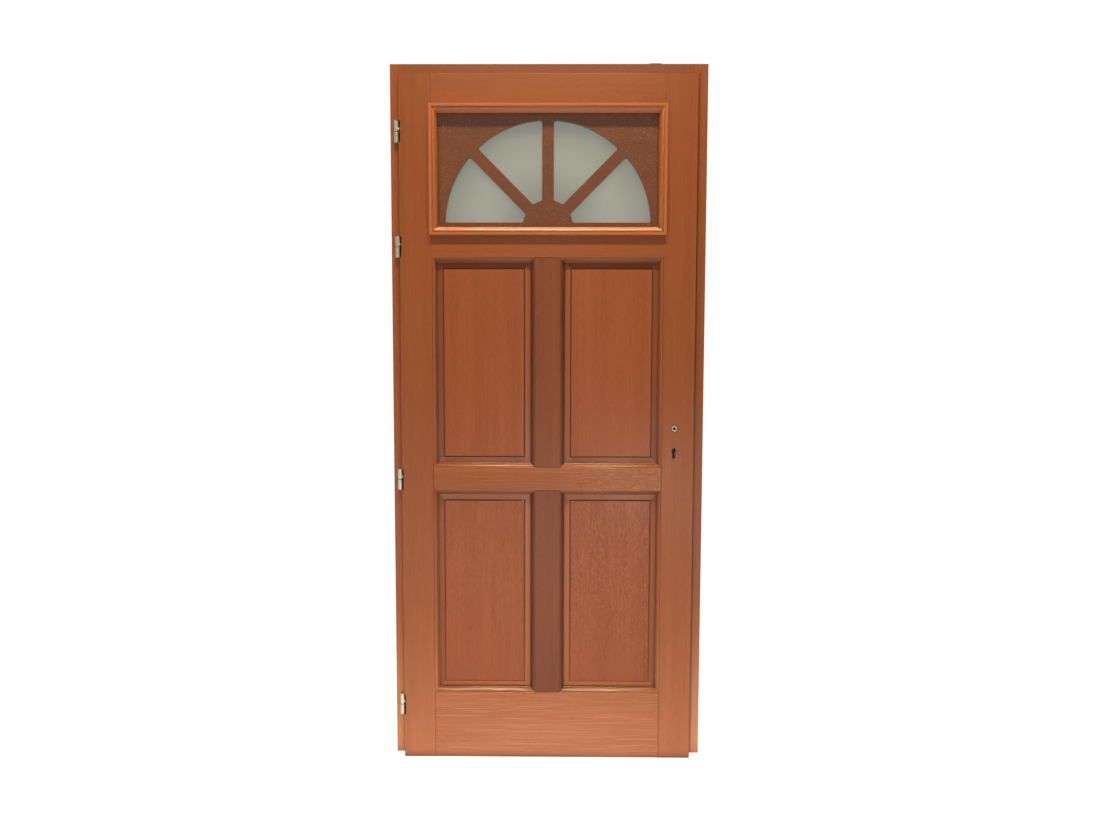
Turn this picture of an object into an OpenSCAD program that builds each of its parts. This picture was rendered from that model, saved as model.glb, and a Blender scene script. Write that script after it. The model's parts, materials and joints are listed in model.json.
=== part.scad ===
// Panelled wood front door, leaf hung in its frame on four barrel hinges.
// Lengths are in millimetres, z = 0 is the underside of the leaf, +Z is up and -Y faces the viewer.

/* [Frame] */
// Width of the frame over both jambs
frame_width = 965; // [930:1:1040]
// Depth of the frame from its face to its back
frame_depth = 58; // [50:1:80]
// Frame face left showing beside the leaf on the hinge side
hinge_reveal = 27; // [25:1:45]
// Frame face left showing beside the leaf on the lock side
lock_reveal = 31; // [26:1:45]
// Frame face left showing above the leaf
head_reveal = 32; // [24:1:60]
// Width of the stop behind the leaf
stop_width = 12; // [10:1:20]
// Distance the leaf hangs below the ends of the jambs
sill_lap = 10; // [0:1:13]
// Free space between the leaf body and the frame rebate
rebate_gap = 3.5; // [2:0.5:5]
// Length of the head's stub tenon in each jamb
head_tenon_length = 18; // [8:1:22]
// Thickness of the head's stub tenon
head_tenon_depth = 14; // [8:1:20]
// Wood left in front of the head's tenon
head_tenon_set = 9; // [5:1:12]
// Wood left above and below the head's tenon
head_tenon_shoulder = 9; // [5:1:11]

/* [Leaf] */
// Height of the leaf over its lip
leaf_height = 2128; // [2060:1:2260]
// Thickness of the lip standing in front of the frame
lip_proud = 15; // [14:0.5:22]
// Distance the lip runs past the leaf body
lip_lap = 14; // [8:1:16]
// Free space between the lip and the frame face
lip_gap = 0.5; // [0.2:0.1:1.5]
// Thickness of the leaf body behind the frame face
body_depth = 30; // [28:1:36]
// Width of each stile
stile_face = 98; // [94:1:120]
// Width of each muntin
muntin_face = 77; // [60:1:100]
// Height of the top rail
top_rail_face = 96; // [70:1:130]
// Height of the rail under the window
frieze_rail_face = 73; // [66:1:110]
// Height of the rail between the panels
mid_rail_face = 71; // [66:1:110]
// Height of the bottom rail
bottom_rail_face = 212; // [120:1:260]
// Length of the tenons on the rails
tenon_length = 30; // [12:1:32]
// Length of the tenons on the muntins
muntin_tenon_length = 20; // [10:1:28]
// Thickness of the tenons
tenon_depth = 12; // [8:1:14]
// Wood left beside a tenon at each edge
tenon_shoulder = 12; // [6:1:16]
// Free space round a tenon
tenon_play = 0.2; // [0.1:0.05:0.4]

/* [Panels] */
// Width of the moulded edge round each panel
sticking_width = 14.5; // [10:0.5:17]
// Flat step where the moulded edge meets the face
sticking_step = 1.5; // [1:0.25:2.5]
// Flat at the inner side of the moulded edge
sticking_fillet = 4; // [2:0.25:5]
// Width of the groove that holds a panel
groove_width = 12; // [8:0.5:14]
// Depth of the groove that holds a panel
groove_depth = 16.5; // [12:0.5:18.5]
// Free space left for a panel to swell in its groove
panel_float = 2; // [1:0.25:4]
// Free space at each face of a panel's tongue
panel_play = 0.2; // [0.1:0.05:0.4]
// Depth of the raised field below the leaf face
field_drop = 9.5; // [6:0.5:11]
// Height of the square shoulder round the raised field
shoulder_step = 2.5; // [1:0.25:3.5]
// Width of the sloping margin round the raised field
margin_width = 20.5; // [14:0.5:36]
// Width of the groove between the margin and the raised field
quirk_width = 3.5; // [2:0.25:5]
// Depth of that groove below the inner edge of the margin
quirk_depth = 2; // [1:0.25:3]

/* [Window] */
// Height of the window opening
window_height = 380; // [372:1:440]
// Width of the beads that hold the glass
bead_width = 24.5; // [22:0.5:30]
// Distance the front beads lap over the leaf face
bead_lap = 5.5; // [3:0.5:8]
// Distance the front beads stand out of the leaf face
bead_proud = 12; // [10:0.5:16]
// Width of the flat at the outer edge of the front beads
bead_flat = 8.5; // [6:0.25:10]
// Width of the groove between the flat and the round of the front beads
bead_quirk = 2; // [1:0.25:3]
// Depth of that groove
bead_quirk_depth = 3; // [1:0.25:4]
// Width of the step between the round and the slope of the front beads
bead_step = 5.5; // [3:0.25:7]
// Height of that step above the leaf face
bead_step_proud = 9.5; // [7:0.25:11]
// Width of the lip at the inner edge of the front beads
bead_nose = 3; // [2:0.25:4]
// Depth of the lip of the front beads below the leaf face
bead_nose_drop = 1; // [0:0.25:3]
// Distance the back beads stand out of the leaf back
back_bead_proud = 5; // [2:0.5:8]
// Radius of the round on the back beads
back_bead_round = 7; // [3:0.5:9]
// Free space between the beads and the opening
bead_play = 0.4; // [0.2:0.1:0.8]
// Depth of the front glass below the leaf face
glass_drop = 10; // [7:0.5:12]
// Thickness of each pane
glass_depth = 4; // [3:0.5:5]
// Thickness of the sunburst board
board_depth = 10; // [6:0.5:11]
// Free space round the panes and the board
glazing_play = 1.5; // [1:0.25:2.5]

/* [Sunburst] */
// Radius of the fan
fan_radius = 315; // [295:1:320]
// Height of the fan's centre above the window opening's foot
fan_rise = 27; // [24:0.5:32]
// Height of the fan's straight base above the window opening's foot
fan_base = 34.6; // [32:0.2:45]
// Height above the window opening's foot at which the spokes would meet
hub_rise = 18; // [10:1:28]
// Width of each spoke
spoke_width = 36; // [24:1:44]
// Radius of the plain wood round the fan's centre
fan_hub = 76; // [66:1:90]
// Radius of the corners of the fan openings
fan_corner = 8; // [3:0.5:12]
// Least wood left between the fan openings and the sight line of the beads
fan_edge = 6; // [3:0.5:12]

/* [Hinges] */
// Radius of the hinge barrels
barrel_radius = 6.5; // [6:0.1:7.2]
// Length of a closed hinge barrel
barrel_length = 64; // [54:1:90]
// Free space between the two halves of a barrel
barrel_joint = 0.4; // [0.3:0.1:1]
// Width of the bevel at the ends of each half barrel
barrel_bevel = 0.8; // [0.4:0.1:1.2]
// Distance of the hinge axis from the edge of the lip
barrel_gap = 7.8; // [7.6:0.1:9]
// Distance of the hinge axis in front of the frame face
barrel_forward = 7; // [7:0.25:7.5]
// Radius of the hinge pin
pin_radius = 3.5; // [2.5:0.1:4]
// Length of the hinge pin above the joint
pin_length = 24; // [14:0.5:25]
// Running space round the hinge pin
pin_play = 0.05; // [0.02:0.01:0.08]
// Radius of the screw-in stems
stem_radius = 3.5; // [2.5:0.1:4]
// Free space round a stem in the wood
stem_play = 0.05; // [0.02:0.01:0.1]
// Height of a stem's axis above or below the joint
stem_rise = 8; // [6:0.5:14]
// Length of the leaf stems in the wood
leaf_stem_length = 40; // [25:1:50]
// Length of the frame stems in the wood
frame_stem_length = 36; // [25:1:42]
// Height of the bottom hinge as a share of the leaf height
hinge_a_share = 0.0799; // [0.06:0.0005:0.12]
// Height of the second hinge as a share of the leaf height
hinge_b_share = 0.4192; // [0.36:0.0005:0.5]
// Height of the third hinge as a share of the leaf height
hinge_c_share = 0.757; // [0.65:0.0005:0.8]
// Height of the top hinge as a share of the leaf height
hinge_d_share = 0.9197; // [0.87:0.0005:0.94]

/* [Lock] */
// Height of the spindle above the mid rail
spindle_rise = 123; // [118:1:200]
// Distance of the spindle from the edge of the leaf body
backset = 45; // [42:0.5:48]
// Distance from the spindle down to the key cylinder's centre
lock_centres = 70; // [66:1:72]
// Radius of the spindle hole in the wood
spindle_hole_radius = 10; // [9.5:0.25:11]
// Radius of the follower's hub
hub_radius = 8.5; // [7.5:0.1:9]
// Distance the follower's hub reaches in front of the case
hub_neck = 18; // [3:0.5:20]
// Width of the square hole for the spindle
spindle_square = 8; // [7:0.5:9]
// Radius of the round of the key cylinder hole
euro_radius = 8.5; // [8:0.25:9]
// Width of the slot of the key cylinder hole
euro_slot = 10; // [9:0.25:11]
// Height of the key cylinder hole
euro_height = 33; // [30:0.5:35]
// Extra width of the key cylinder hole in the wood at each side
euro_margin = 1; // [0.5:0.1:1.5]
// Depth of the lock case
case_depth = 66; // [64:1:76]
// Thickness of the lock case
case_thickness = 16; // [15:0.5:17]
// Thickness of the lock case walls
case_wall = 1.5; // [1:0.1:2]
// Height of the lock case above the spindle
case_above = 60; // [52:1:70]
// Height of the lock case below the spindle
case_below = 105; // [100:1:112]
// Free space round the lock case
case_play = 0.5; // [0.3:0.1:1]
// Length of the faceplate and the strike plate past the case at each end
plate_tail = 35; // [25:1:45]
// Width of the faceplate and the strike plate
plate_width = 22; // [20:0.5:24]
// Thickness of the faceplate
faceplate_depth = 3; // [2.5:0.25:4]
// Thickness of the strike plate
strike_depth = 2; // [2:0.25:3]
// Height of the latch above the spindle
latch_rise = 30; // [27:0.5:36]
// Height of the latch
latch_height = 20; // [14:0.5:22]
// Thickness of the latch and the dead bolt
bolt_thickness = 11; // [8:0.5:12]
// Length of the latch
latch_length = 34; // [28:0.5:36]
// Distance the latch moves out
latch_throw = 11; // [8:0.5:13]
// Height of the dead bolt
bolt_height = 28; // [20:0.5:32]
// Length of the dead bolt
bolt_length = 31; // [26:0.5:33]
// Distance the dead bolt moves out
bolt_throw = 20; // [12:0.5:21]
// Free space round the latch and the bolt in the faceplate
bolt_play = 0.5; // [0.4:0.1:0.8]
// Free space round the latch and the bolt in the strike plate
keep_play = 2; // [1:0.25:3]
// Depth of the keep pockets behind the strike plate
keep_depth = 20; // [19:0.5:22]
// Radius of the screw shanks
screw_radius = 1.8; // [1.5:0.1:2.2]
// Radius of the screw heads
screw_head_radius = 3.8; // [3.2:0.1:4.2]
// Length of the screws
screw_length = 26; // [20:0.5:28]
// Free space round the screws
screw_play = 0.05; // [0.02:0.01:0.1]
// Width of the slot in the screw heads
screw_slot = 1; // [0.8:0.1:1.2]
// Depth of the slot in the screw heads
screw_slot_depth = 0.8; // [0.5:0.1:1]

/* [Seals] */
// Free space between the leaf back and the stop
seal_gap = 3; // [2.5:0.25:5]
// Width of the seals
seal_width = 7; // [5:0.25:8]
// Free space between the leaf back and the seals
seal_play = 0.4; // [0.3:0.05:0.8]
// Width of the stem that holds a seal in its groove
seal_stem_width = 3; // [2:0.25:4]
// Depth of the stem that holds a seal in its groove
seal_stem_depth = 5; // [3:0.25:7]

/* [Head lug] */
// Distance of the fixing lug from the frame's centre as a share of the frame width
lug_share = 0.335; // [0.2:0.005:0.4]
// Width of the fixing lug
lug_width = 36; // [24:1:50]
// Height of the fixing lug above the frame
lug_height = 4; // [3:0.25:6]
// Distance of the fixing lug behind the frame face
lug_set = 6; // [3:0.5:12]
// Depth of the fixing lug from front to back
lug_depth = 40; // [26:1:46]

/* [Hidden] */
$fn = 96;
// Facets across the fan's rim in each opening, and across each small round of it
rim_steps = 36;
corner_steps = 8;
// Distance a cut runs past the face it leaves through
cut_over = 1;
// Length a moulded edge is let into its own member
sticking_bite = 5;
wood_tone = "#a05c38";
wood_dark = "#7d4630";
nickel_tone = "#cfc9b8";
steel_tone = "#a8aaac";
lug_tone = "#4a3626";
rubber_tone = "#2b2320";
clear_tone = "#dfe6df";
satin_tone = "#b9c0b2";

frame_left = -frame_width / 2;
frame_right = frame_width / 2;
frame_top = leaf_height + head_reveal;
frame_face = -(frame_depth - lip_proud - bead_proud) / 2;
frame_back = frame_face + frame_depth;
leaf_left = frame_left + hinge_reveal;
leaf_right = frame_right - lock_reveal;
leaf_width = leaf_right - leaf_left;
leaf_centre = (leaf_left + leaf_right) / 2;
leaf_face = frame_face - lip_proud;
leaf_back = frame_face + body_depth;
leaf_depth = lip_proud + body_depth;
leaf_middle = (leaf_face + leaf_back) / 2;
body_left = leaf_left + lip_lap;
body_right = leaf_right - lip_lap;
body_foot = lip_lap;
body_top = leaf_height - lip_lap;
lip_back = frame_face - lip_gap;
rebate_left = body_left - rebate_gap;
rebate_right = body_right + rebate_gap;
rebate_top = body_top + rebate_gap;
stop_face = leaf_back + seal_gap;
stop_left = rebate_left + stop_width;
stop_right = rebate_right - stop_width;
stop_top = rebate_top - stop_width;

panel_width = (leaf_width - 2 * stile_face - muntin_face) / 2;
panel_height = (leaf_height - bottom_rail_face - mid_rail_face - frieze_rail_face
    - window_height - top_rail_face) / 2;
lower_foot = bottom_rail_face;
lower_head = lower_foot + panel_height;
upper_foot = lower_head + mid_rail_face;
upper_head = upper_foot + panel_height;
window_foot = upper_head + frieze_rail_face;
window_head = window_foot + window_height;
left_x = leaf_left + stile_face;
muntin_left = left_x + panel_width;
right_x = muntin_left + muntin_face;
lock_stile_x = right_x + panel_width;
window_width = lock_stile_x - left_x;

ovolo_radius = sticking_width - sticking_step - sticking_fillet;
sight_half_width = panel_width / 2 - sticking_width;
sight_half_height = panel_height / 2 - sticking_width;
field_half_width = sight_half_width - margin_width;
field_half_height = sight_half_height - margin_width;
tongue_half = groove_width / 2 - panel_play;
field_half = leaf_depth / 2 - field_drop;
margin_half = field_half - shoulder_step;

bead_round = bead_proud - bead_step_proud;
bead_inner = bead_lap + bead_play;
bead_span = window_width + 2 * bead_lap;
bead_rise = window_height + 2 * bead_lap;
bead_left = left_x - bead_lap;
bead_right = lock_stile_x + bead_lap;
bead_foot = window_foot - bead_lap;
bead_head = window_head + bead_lap;
bead_reach = bead_width + fan_edge;
board_drop = glass_drop + glass_depth;
back_glass_drop = board_drop + board_depth;
back_bead_drop = back_glass_drop + glass_depth;
fan_centre = window_foot + fan_rise;
fan_base_set = fan_base - fan_rise;
hub_set = hub_rise - fan_rise;
spoke_half = spoke_width / 2;

hinge_x = leaf_left - barrel_gap;
hinge_y = frame_face - barrel_forward;
half_barrel = (barrel_length - barrel_joint) / 2;
hinge_heights = [hinge_a_share, hinge_b_share, hinge_c_share, hinge_d_share] * leaf_height;

lock_y = frame_face + body_depth / 2;
spindle_x = body_right - backset;
spindle_z = upper_foot + spindle_rise;
cylinder_z = spindle_z - lock_centres;
latch_z = spindle_z + latch_rise;
case_right = body_right - faceplate_depth;
case_left = case_right - case_depth;
case_front = lock_y - case_thickness / 2;
case_back = lock_y + case_thickness / 2;
case_foot = spindle_z - case_below;
case_head = spindle_z + case_above;
plate_foot = case_foot - plate_tail;
plate_head = case_head + plate_tail;
plate_front = lock_y - plate_width / 2;
plate_back = lock_y + plate_width / 2;
strike_back = rebate_right + strike_depth;
bolt_front = lock_y - bolt_thickness / 2;
bolt_back = lock_y + bolt_thickness / 2;
plate_screw_set = plate_tail / 3;
plate_screws = [plate_foot + plate_screw_set, plate_head - plate_screw_set];

lug_x = lug_share * frame_width;
lug_left = lug_x - lug_width / 2;
lug_right = lug_x + lug_width / 2;
lug_front = frame_face + lug_set;
lug_screws_x = [lug_x - lug_width / 4, lug_x + lug_width / 4];
lug_screw_y = lug_front + lug_depth / 2;
lug_screw_length = screw_length - lug_height;

// Box between two opposite corners
module block(low, high) {
    translate(low) cube(high - low);
}

// Upright bar with a square section, given by its plan corners and its ends
module upright(low, high, foot, head) {
    block([low[0], low[1], foot], [high[0], high[1], head]);
}

// Cylinder along +Y
module bar_y(start, length, radius) {
    translate(start) rotate([-90, 0, 0]) cylinder(h = length, r = radius);
}

// Cylinder along +X
module bar_x(start, length, radius) {
    translate(start) rotate([0, 90, 0]) cylinder(h = length, r = radius);
}

// Waste outside a rounded corner in the first quadrant, from the round's centre
module corner_waste(radius) {
    difference() {
        square(radius + cut_over);
        circle(r = radius);
    }
}

// Moulded edge along +X, with depth along +Y from the face and reach along +Z, mitred at both ends
module sticking(length) {
    reach = sticking_step + ovolo_radius;
    intersection() {
        rotate([90, 0, 90]) linear_extrude(height = length) difference() {
            translate([sticking_step, -sticking_bite])
                square([leaf_depth - 2 * sticking_step, sticking_bite + sticking_width]);
            translate([reach, sticking_step]) mirror([1, 0]) corner_waste(ovolo_radius);
            translate([0, reach]) square([reach, sticking_fillet + cut_over]);
            translate([leaf_depth - reach, sticking_step]) corner_waste(ovolo_radius);
            translate([leaf_depth - reach, reach]) square([reach, sticking_fillet + cut_over]);
        }
        translate([0, leaf_depth, 0]) rotate([90, 0, 0]) linear_extrude(height = leaf_depth)
            polygon([[0, -sticking_bite], [length, -sticking_bite], [length, 0],
                [length - sticking_width, sticking_width], [sticking_width, sticking_width], [0, 0]]);
    }
}

module sticking_above(x, z) {
    translate([x, leaf_face, z]) sticking(panel_width);
}

module sticking_below(x, z) {
    translate([x, leaf_face, z]) mirror([0, 0, 1]) sticking(panel_width);
}

module sticking_right_of(x, z) {
    translate([x, leaf_face, z]) mirror([1, 0, 0]) rotate([0, -90, 0]) sticking(panel_height);
}

module sticking_left_of(x, z) {
    translate([x, leaf_face, z]) rotate([0, -90, 0]) sticking(panel_height);
}

// Groove round a panel opening whose lower left sight corner is given
module panel_groove(x, z) {
    reach = groove_depth - sticking_width;
    block([x - reach, leaf_middle - groove_width / 2, z - reach],
        [x + panel_width + reach, leaf_middle + groove_width / 2, z + panel_height + reach]);
}

module panel_grooves() {
    for (x = [left_x, right_x]) {
        for (z = [lower_foot, upper_foot]) {
            panel_groove(x, z);
        }
    }
}

// Space behind the lip, all round the leaf body
module lip_rebate() {
    far_left = leaf_left - cut_over;
    far_right = leaf_right + cut_over;
    far_back = leaf_back + cut_over;
    far_foot = -cut_over;
    far_top = leaf_height + cut_over;
    block([far_left, lip_back, far_foot], [body_left, far_back, far_top]);
    block([body_right, lip_back, far_foot], [far_right, far_back, far_top]);
    block([far_left, lip_back, far_foot], [far_right, far_back, body_foot]);
    block([far_left, lip_back, body_top], [far_right, far_back, far_top]);
}

// Tenons at both ends of a rail between two heights, widened by the given play
module rail_tenons(foot, head, play) {
    front = leaf_middle - tenon_depth / 2 - play;
    back = leaf_middle + tenon_depth / 2 + play;
    low = foot + tenon_shoulder - play;
    high = head - tenon_shoulder + play;
    reach = tenon_length + play;
    block([left_x - reach, front, low], [left_x + cut_over, back, high]);
    block([lock_stile_x - cut_over, front, low], [lock_stile_x + reach, back, high]);
}

module all_rail_tenons(play) {
    rail_tenons(body_foot, lower_foot, play);
    rail_tenons(lower_head, upper_foot, play);
    rail_tenons(upper_head, window_foot, play);
    rail_tenons(window_head, body_top, play);
}

// Tenons at both ends of a muntin between two heights, widened by the given play
module muntin_tenons(foot, head, play) {
    front = leaf_middle - tenon_depth / 2 - play;
    back = leaf_middle + tenon_depth / 2 + play;
    low = muntin_left + tenon_shoulder - play;
    high = right_x - tenon_shoulder + play;
    reach = muntin_tenon_length + play;
    block([low, front, foot - reach], [high, back, foot + cut_over]);
    block([low, front, head - cut_over], [high, back, head + reach]);
}

module all_muntin_tenons(play) {
    muntin_tenons(lower_foot, lower_head, play);
    muntin_tenons(upper_foot, upper_head, play);
}

// Rail between the stiles
module rail(foot, head) {
    block([left_x, leaf_face, foot], [lock_stile_x, leaf_back, head]);
}

// Seal along +Z with its flat against y = 0 and its stem along +Y
module seal(length, play) {
    face = seal_gap - seal_play;
    edge = seal_width / 2;
    half = seal_stem_width / 2 + play;
    linear_extrude(height = length)
        polygon([[-edge, 0], [-edge, -face / 2], [-edge / 2, -face], [edge / 2, -face], [edge, -face / 2],
            [edge, 0], [half, 0], [half, seal_stem_depth + play], [-half, seal_stem_depth + play], [-half, 0]]);
}

// Groove for the stem of a seal along +Z
module seal_groove(length) {
    half = seal_stem_width / 2;
    block([-half, -cut_over, 0], [half, seal_stem_depth, length]);
}

module place_hinge_side_seal() {
    translate([(rebate_left + stop_left) / 2, stop_face, sill_lap]) children();
}

module place_lock_side_seal() {
    translate([(rebate_right + stop_right) / 2, stop_face, sill_lap]) children();
}

module place_head_seal() {
    translate([stop_left, stop_face, (rebate_top + stop_top) / 2]) rotate([0, 90, 0]) children();
}

// Stub tenons of the head, widened by the given play
module head_tenons(play) {
    front = frame_face + head_tenon_set - play;
    back = frame_face + head_tenon_set + head_tenon_depth + play;
    low = rebate_top + head_tenon_shoulder - play;
    high = frame_top - head_tenon_shoulder + play;
    reach = head_tenon_length + play;
    block([rebate_left - reach, front, low], [rebate_left + cut_over, back, high]);
    block([rebate_right - cut_over, front, low], [rebate_right + reach, back, high]);
}

// Countersunk slotted screw along +X with its head flush at x = 0
module screw(head_depth, length) {
    difference() {
        union() {
            rotate([0, 90, 0]) cylinder(h = head_depth, r1 = screw_head_radius, r2 = screw_radius);
            rotate([0, 90, 0]) cylinder(h = length, r = screw_radius);
        }
        block([-cut_over, -screw_slot / 2, -screw_head_radius - cut_over],
            [screw_slot_depth, screw_slot / 2, screw_head_radius + cut_over]);
    }
}

// Countersunk hole along +X for a screw
module screw_hole(head_depth, length) {
    rotate([0, 90, 0]) cylinder(h = head_depth, r1 = screw_head_radius + screw_play,
        r2 = screw_radius + screw_play);
    rotate([0, 90, 0]) cylinder(h = length, r = screw_radius + screw_play);
}

// Half barrel along +Z
module half_barrel_body() {
    rotate_extrude()
        polygon([[0, 0], [barrel_radius - barrel_bevel, 0], [barrel_radius, barrel_bevel],
            [barrel_radius, half_barrel - barrel_bevel], [barrel_radius - barrel_bevel, half_barrel],
            [0, half_barrel]]);
}

// Lower half of a hinge with its pin and the stem that holds it in the jamb
module frame_hinge(z) {
    color(nickel_tone) translate([hinge_x, hinge_y, z]) {
        translate([0, 0, -barrel_joint / 2 - half_barrel]) half_barrel_body();
        translate([0, 0, -half_barrel / 2]) cylinder(h = half_barrel / 2 + pin_length, r = pin_radius);
        bar_y([0, 0, -stem_rise], barrel_forward + frame_stem_length, stem_radius);
    }
}

// Upper half of a hinge, bored for the pin, with the stem that holds it in the leaf
module leaf_hinge(z) {
    color(nickel_tone) translate([hinge_x, hinge_y, z]) difference() {
        union() {
            translate([0, 0, barrel_joint / 2]) half_barrel_body();
            bar_x([0, 0, stem_rise], barrel_gap + leaf_stem_length, stem_radius);
        }
        cylinder(h = pin_length + cut_over, r = pin_radius + pin_play);
    }
}

// Holes in the jamb for the frame stems
module frame_stem_holes() {
    for (z = hinge_heights) {
        bar_y([hinge_x, frame_face - cut_over, z - stem_rise], cut_over + frame_stem_length,
            stem_radius + stem_play);
    }
}

// Holes in the hinge stile for the leaf stems
module leaf_stem_holes() {
    for (z = hinge_heights) {
        bar_x([leaf_left - cut_over, hinge_y, z + stem_rise], cut_over + leaf_stem_length,
            stem_radius + stem_play);
    }
}

// Key cylinder hole along +Y, widened by the given margin, from its round's centre
module euro_hole(margin, length) {
    slot_half = euro_slot / 2 + margin;
    drop = euro_height - euro_radius - euro_slot / 2;
    rotate([-90, 0, 0]) cylinder(h = length, r = euro_radius + margin);
    block([-slot_half, 0, -drop], [slot_half, length, 0]);
    translate([0, 0, -drop]) rotate([-90, 0, 0]) cylinder(h = length, r = slot_half);
}

// Space for a sliding bolt, widened by the given play
module bolt_window(middle, height, from, to, play) {
    block([from, bolt_front - play, middle - height / 2 - play],
        [to, bolt_back + play, middle + height / 2 + play]);
}

module hinge_jamb() {
    color(wood_tone) difference() {
        upright([frame_left, frame_face], [stop_left, frame_back], sill_lap, frame_top);
        upright([rebate_left, frame_face - cut_over], [stop_left + cut_over, stop_face],
            sill_lap - cut_over, frame_top + cut_over);
        place_hinge_side_seal() seal_groove(frame_top - sill_lap + cut_over);
        head_tenons(tenon_play);
        frame_stem_holes();
    }
}

module lock_jamb() {
    color(wood_tone) difference() {
        upright([stop_right, frame_face], [frame_right, frame_back], sill_lap, frame_top);
        upright([stop_right - cut_over, frame_face - cut_over], [rebate_right, stop_face],
            sill_lap - cut_over, frame_top + cut_over);
        place_lock_side_seal() seal_groove(frame_top - sill_lap + cut_over);
        head_tenons(tenon_play);
        block([rebate_right - cut_over, plate_front, plate_foot], [strike_back, plate_back, plate_head]);
        bolt_window(latch_z, latch_height, rebate_right, strike_back + keep_depth, keep_play);
        bolt_window(cylinder_z, bolt_height, rebate_right, strike_back + keep_depth, keep_play);
        for (z = plate_screws) {
            translate([rebate_right, lock_y, z]) screw_hole(strike_depth, screw_length);
        }
    }
}

module head_jamb() {
    color(wood_tone) difference() {
        union() {
            difference() {
                block([rebate_left, frame_face, stop_top], [rebate_right, frame_back, frame_top]);
                block([rebate_left - cut_over, frame_face - cut_over, stop_top - cut_over],
                    [rebate_right + cut_over, stop_face, rebate_top]);
                block([rebate_left - cut_over, stop_face, stop_top - cut_over],
                    [stop_left, frame_back + cut_over, frame_top + cut_over]);
                block([stop_right, stop_face, stop_top - cut_over],
                    [rebate_right + cut_over, frame_back + cut_over, frame_top + cut_over]);
            }
            head_tenons(0);
        }
        place_head_seal() seal_groove(stop_right - stop_left);
        for (x = lug_screws_x) {
            translate([x, lug_screw_y, frame_top + lug_height]) rotate([0, 90, 0])
                screw_hole(lug_height, lug_height + lug_screw_length);
        }
    }
}

module hinge_side_seal() {
    color(rubber_tone) place_hinge_side_seal() seal(rebate_top - sill_lap, 0);
}

module lock_side_seal() {
    color(rubber_tone) place_lock_side_seal() seal(rebate_top - sill_lap, 0);
}

module head_seal() {
    color(rubber_tone) place_head_seal() seal(stop_right - stop_left, 0);
}

module strike_plate() {
    color(nickel_tone) difference() {
        block([rebate_right, plate_front, plate_foot], [strike_back, plate_back, plate_head]);
        bolt_window(latch_z, latch_height, rebate_right - cut_over, strike_back + cut_over, keep_play);
        bolt_window(cylinder_z, bolt_height, rebate_right - cut_over, strike_back + cut_over, keep_play);
        for (z = plate_screws) {
            translate([rebate_right, lock_y, z]) screw_hole(strike_depth, screw_length);
        }
    }
}

module strike_screws() {
    color(steel_tone) for (z = plate_screws) {
        translate([rebate_right, lock_y, z]) screw(strike_depth, screw_length);
    }
}

module head_lug() {
    color(lug_tone) difference() {
        block([lug_left, lug_front, frame_top], [lug_right, lug_front + lug_depth, frame_top + lug_height]);
        for (x = lug_screws_x) {
            translate([x, lug_screw_y, frame_top + lug_height]) rotate([0, 90, 0])
                screw_hole(lug_height, lug_height + lug_screw_length);
        }
    }
}

module lug_screws() {
    color(steel_tone) for (x = lug_screws_x) {
        translate([x, lug_screw_y, frame_top + lug_height]) rotate([0, 90, 0])
            screw(lug_height, lug_height + lug_screw_length);
    }
}

module frame_hinge_a() {
    frame_hinge(hinge_heights[0]);
}

module frame_hinge_b() {
    frame_hinge(hinge_heights[1]);
}

module frame_hinge_c() {
    frame_hinge(hinge_heights[2]);
}

module frame_hinge_d() {
    frame_hinge(hinge_heights[3]);
}

module leaf_hinge_a() {
    leaf_hinge(hinge_heights[0]);
}

module leaf_hinge_b() {
    leaf_hinge(hinge_heights[1]);
}

module leaf_hinge_c() {
    leaf_hinge(hinge_heights[2]);
}

module leaf_hinge_d() {
    leaf_hinge(hinge_heights[3]);
}

module hinge_stile() {
    color(wood_tone) difference() {
        union() {
            upright([leaf_left, leaf_face], [left_x, leaf_back], 0, leaf_height);
            sticking_right_of(left_x, lower_foot);
            sticking_right_of(left_x, upper_foot);
        }
        lip_rebate();
        panel_grooves();
        all_rail_tenons(tenon_play);
        leaf_stem_holes();
    }
}

module lock_stile() {
    color(wood_tone) difference() {
        union() {
            upright([lock_stile_x, leaf_face], [leaf_right, leaf_back], 0, leaf_height);
            sticking_left_of(lock_stile_x, lower_foot);
            sticking_left_of(lock_stile_x, upper_foot);
        }
        lip_rebate();
        panel_grooves();
        all_rail_tenons(tenon_play);
        block([case_left - case_play, case_front - case_play, case_foot - case_play],
            [body_right + cut_over, case_back + case_play, case_head + case_play]);
        block([case_right, plate_front, plate_foot], [body_right + cut_over, plate_back, plate_head]);
        bar_y([spindle_x, leaf_face - cut_over, spindle_z], lock_y - leaf_face + cut_over, spindle_hole_radius);
        translate([spindle_x, leaf_face - cut_over, cylinder_z])
            euro_hole(euro_margin, lock_y - leaf_face + cut_over);
        for (z = plate_screws) {
            translate([body_right, lock_y, z]) mirror([1, 0, 0]) screw_hole(faceplate_depth, screw_length);
        }
    }
}

module top_rail() {
    color(wood_tone) difference() {
        union() {
            rail(window_head, leaf_height);
            rail_tenons(window_head, body_top, 0);
        }
        lip_rebate();
    }
}

module frieze_rail() {
    color(wood_tone) difference() {
        union() {
            rail(upper_head, window_foot);
            rail_tenons(upper_head, window_foot, 0);
            sticking_below(left_x, upper_head);
            sticking_below(right_x, upper_head);
        }
        panel_grooves();
        all_muntin_tenons(tenon_play);
    }
}

module mid_rail() {
    color(wood_tone) difference() {
        union() {
            rail(lower_head, upper_foot);
            rail_tenons(lower_head, upper_foot, 0);
            sticking_above(left_x, upper_foot);
            sticking_above(right_x, upper_foot);
            sticking_below(left_x, lower_head);
            sticking_below(right_x, lower_head);
        }
        panel_grooves();
        all_muntin_tenons(tenon_play);
    }
}

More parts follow.
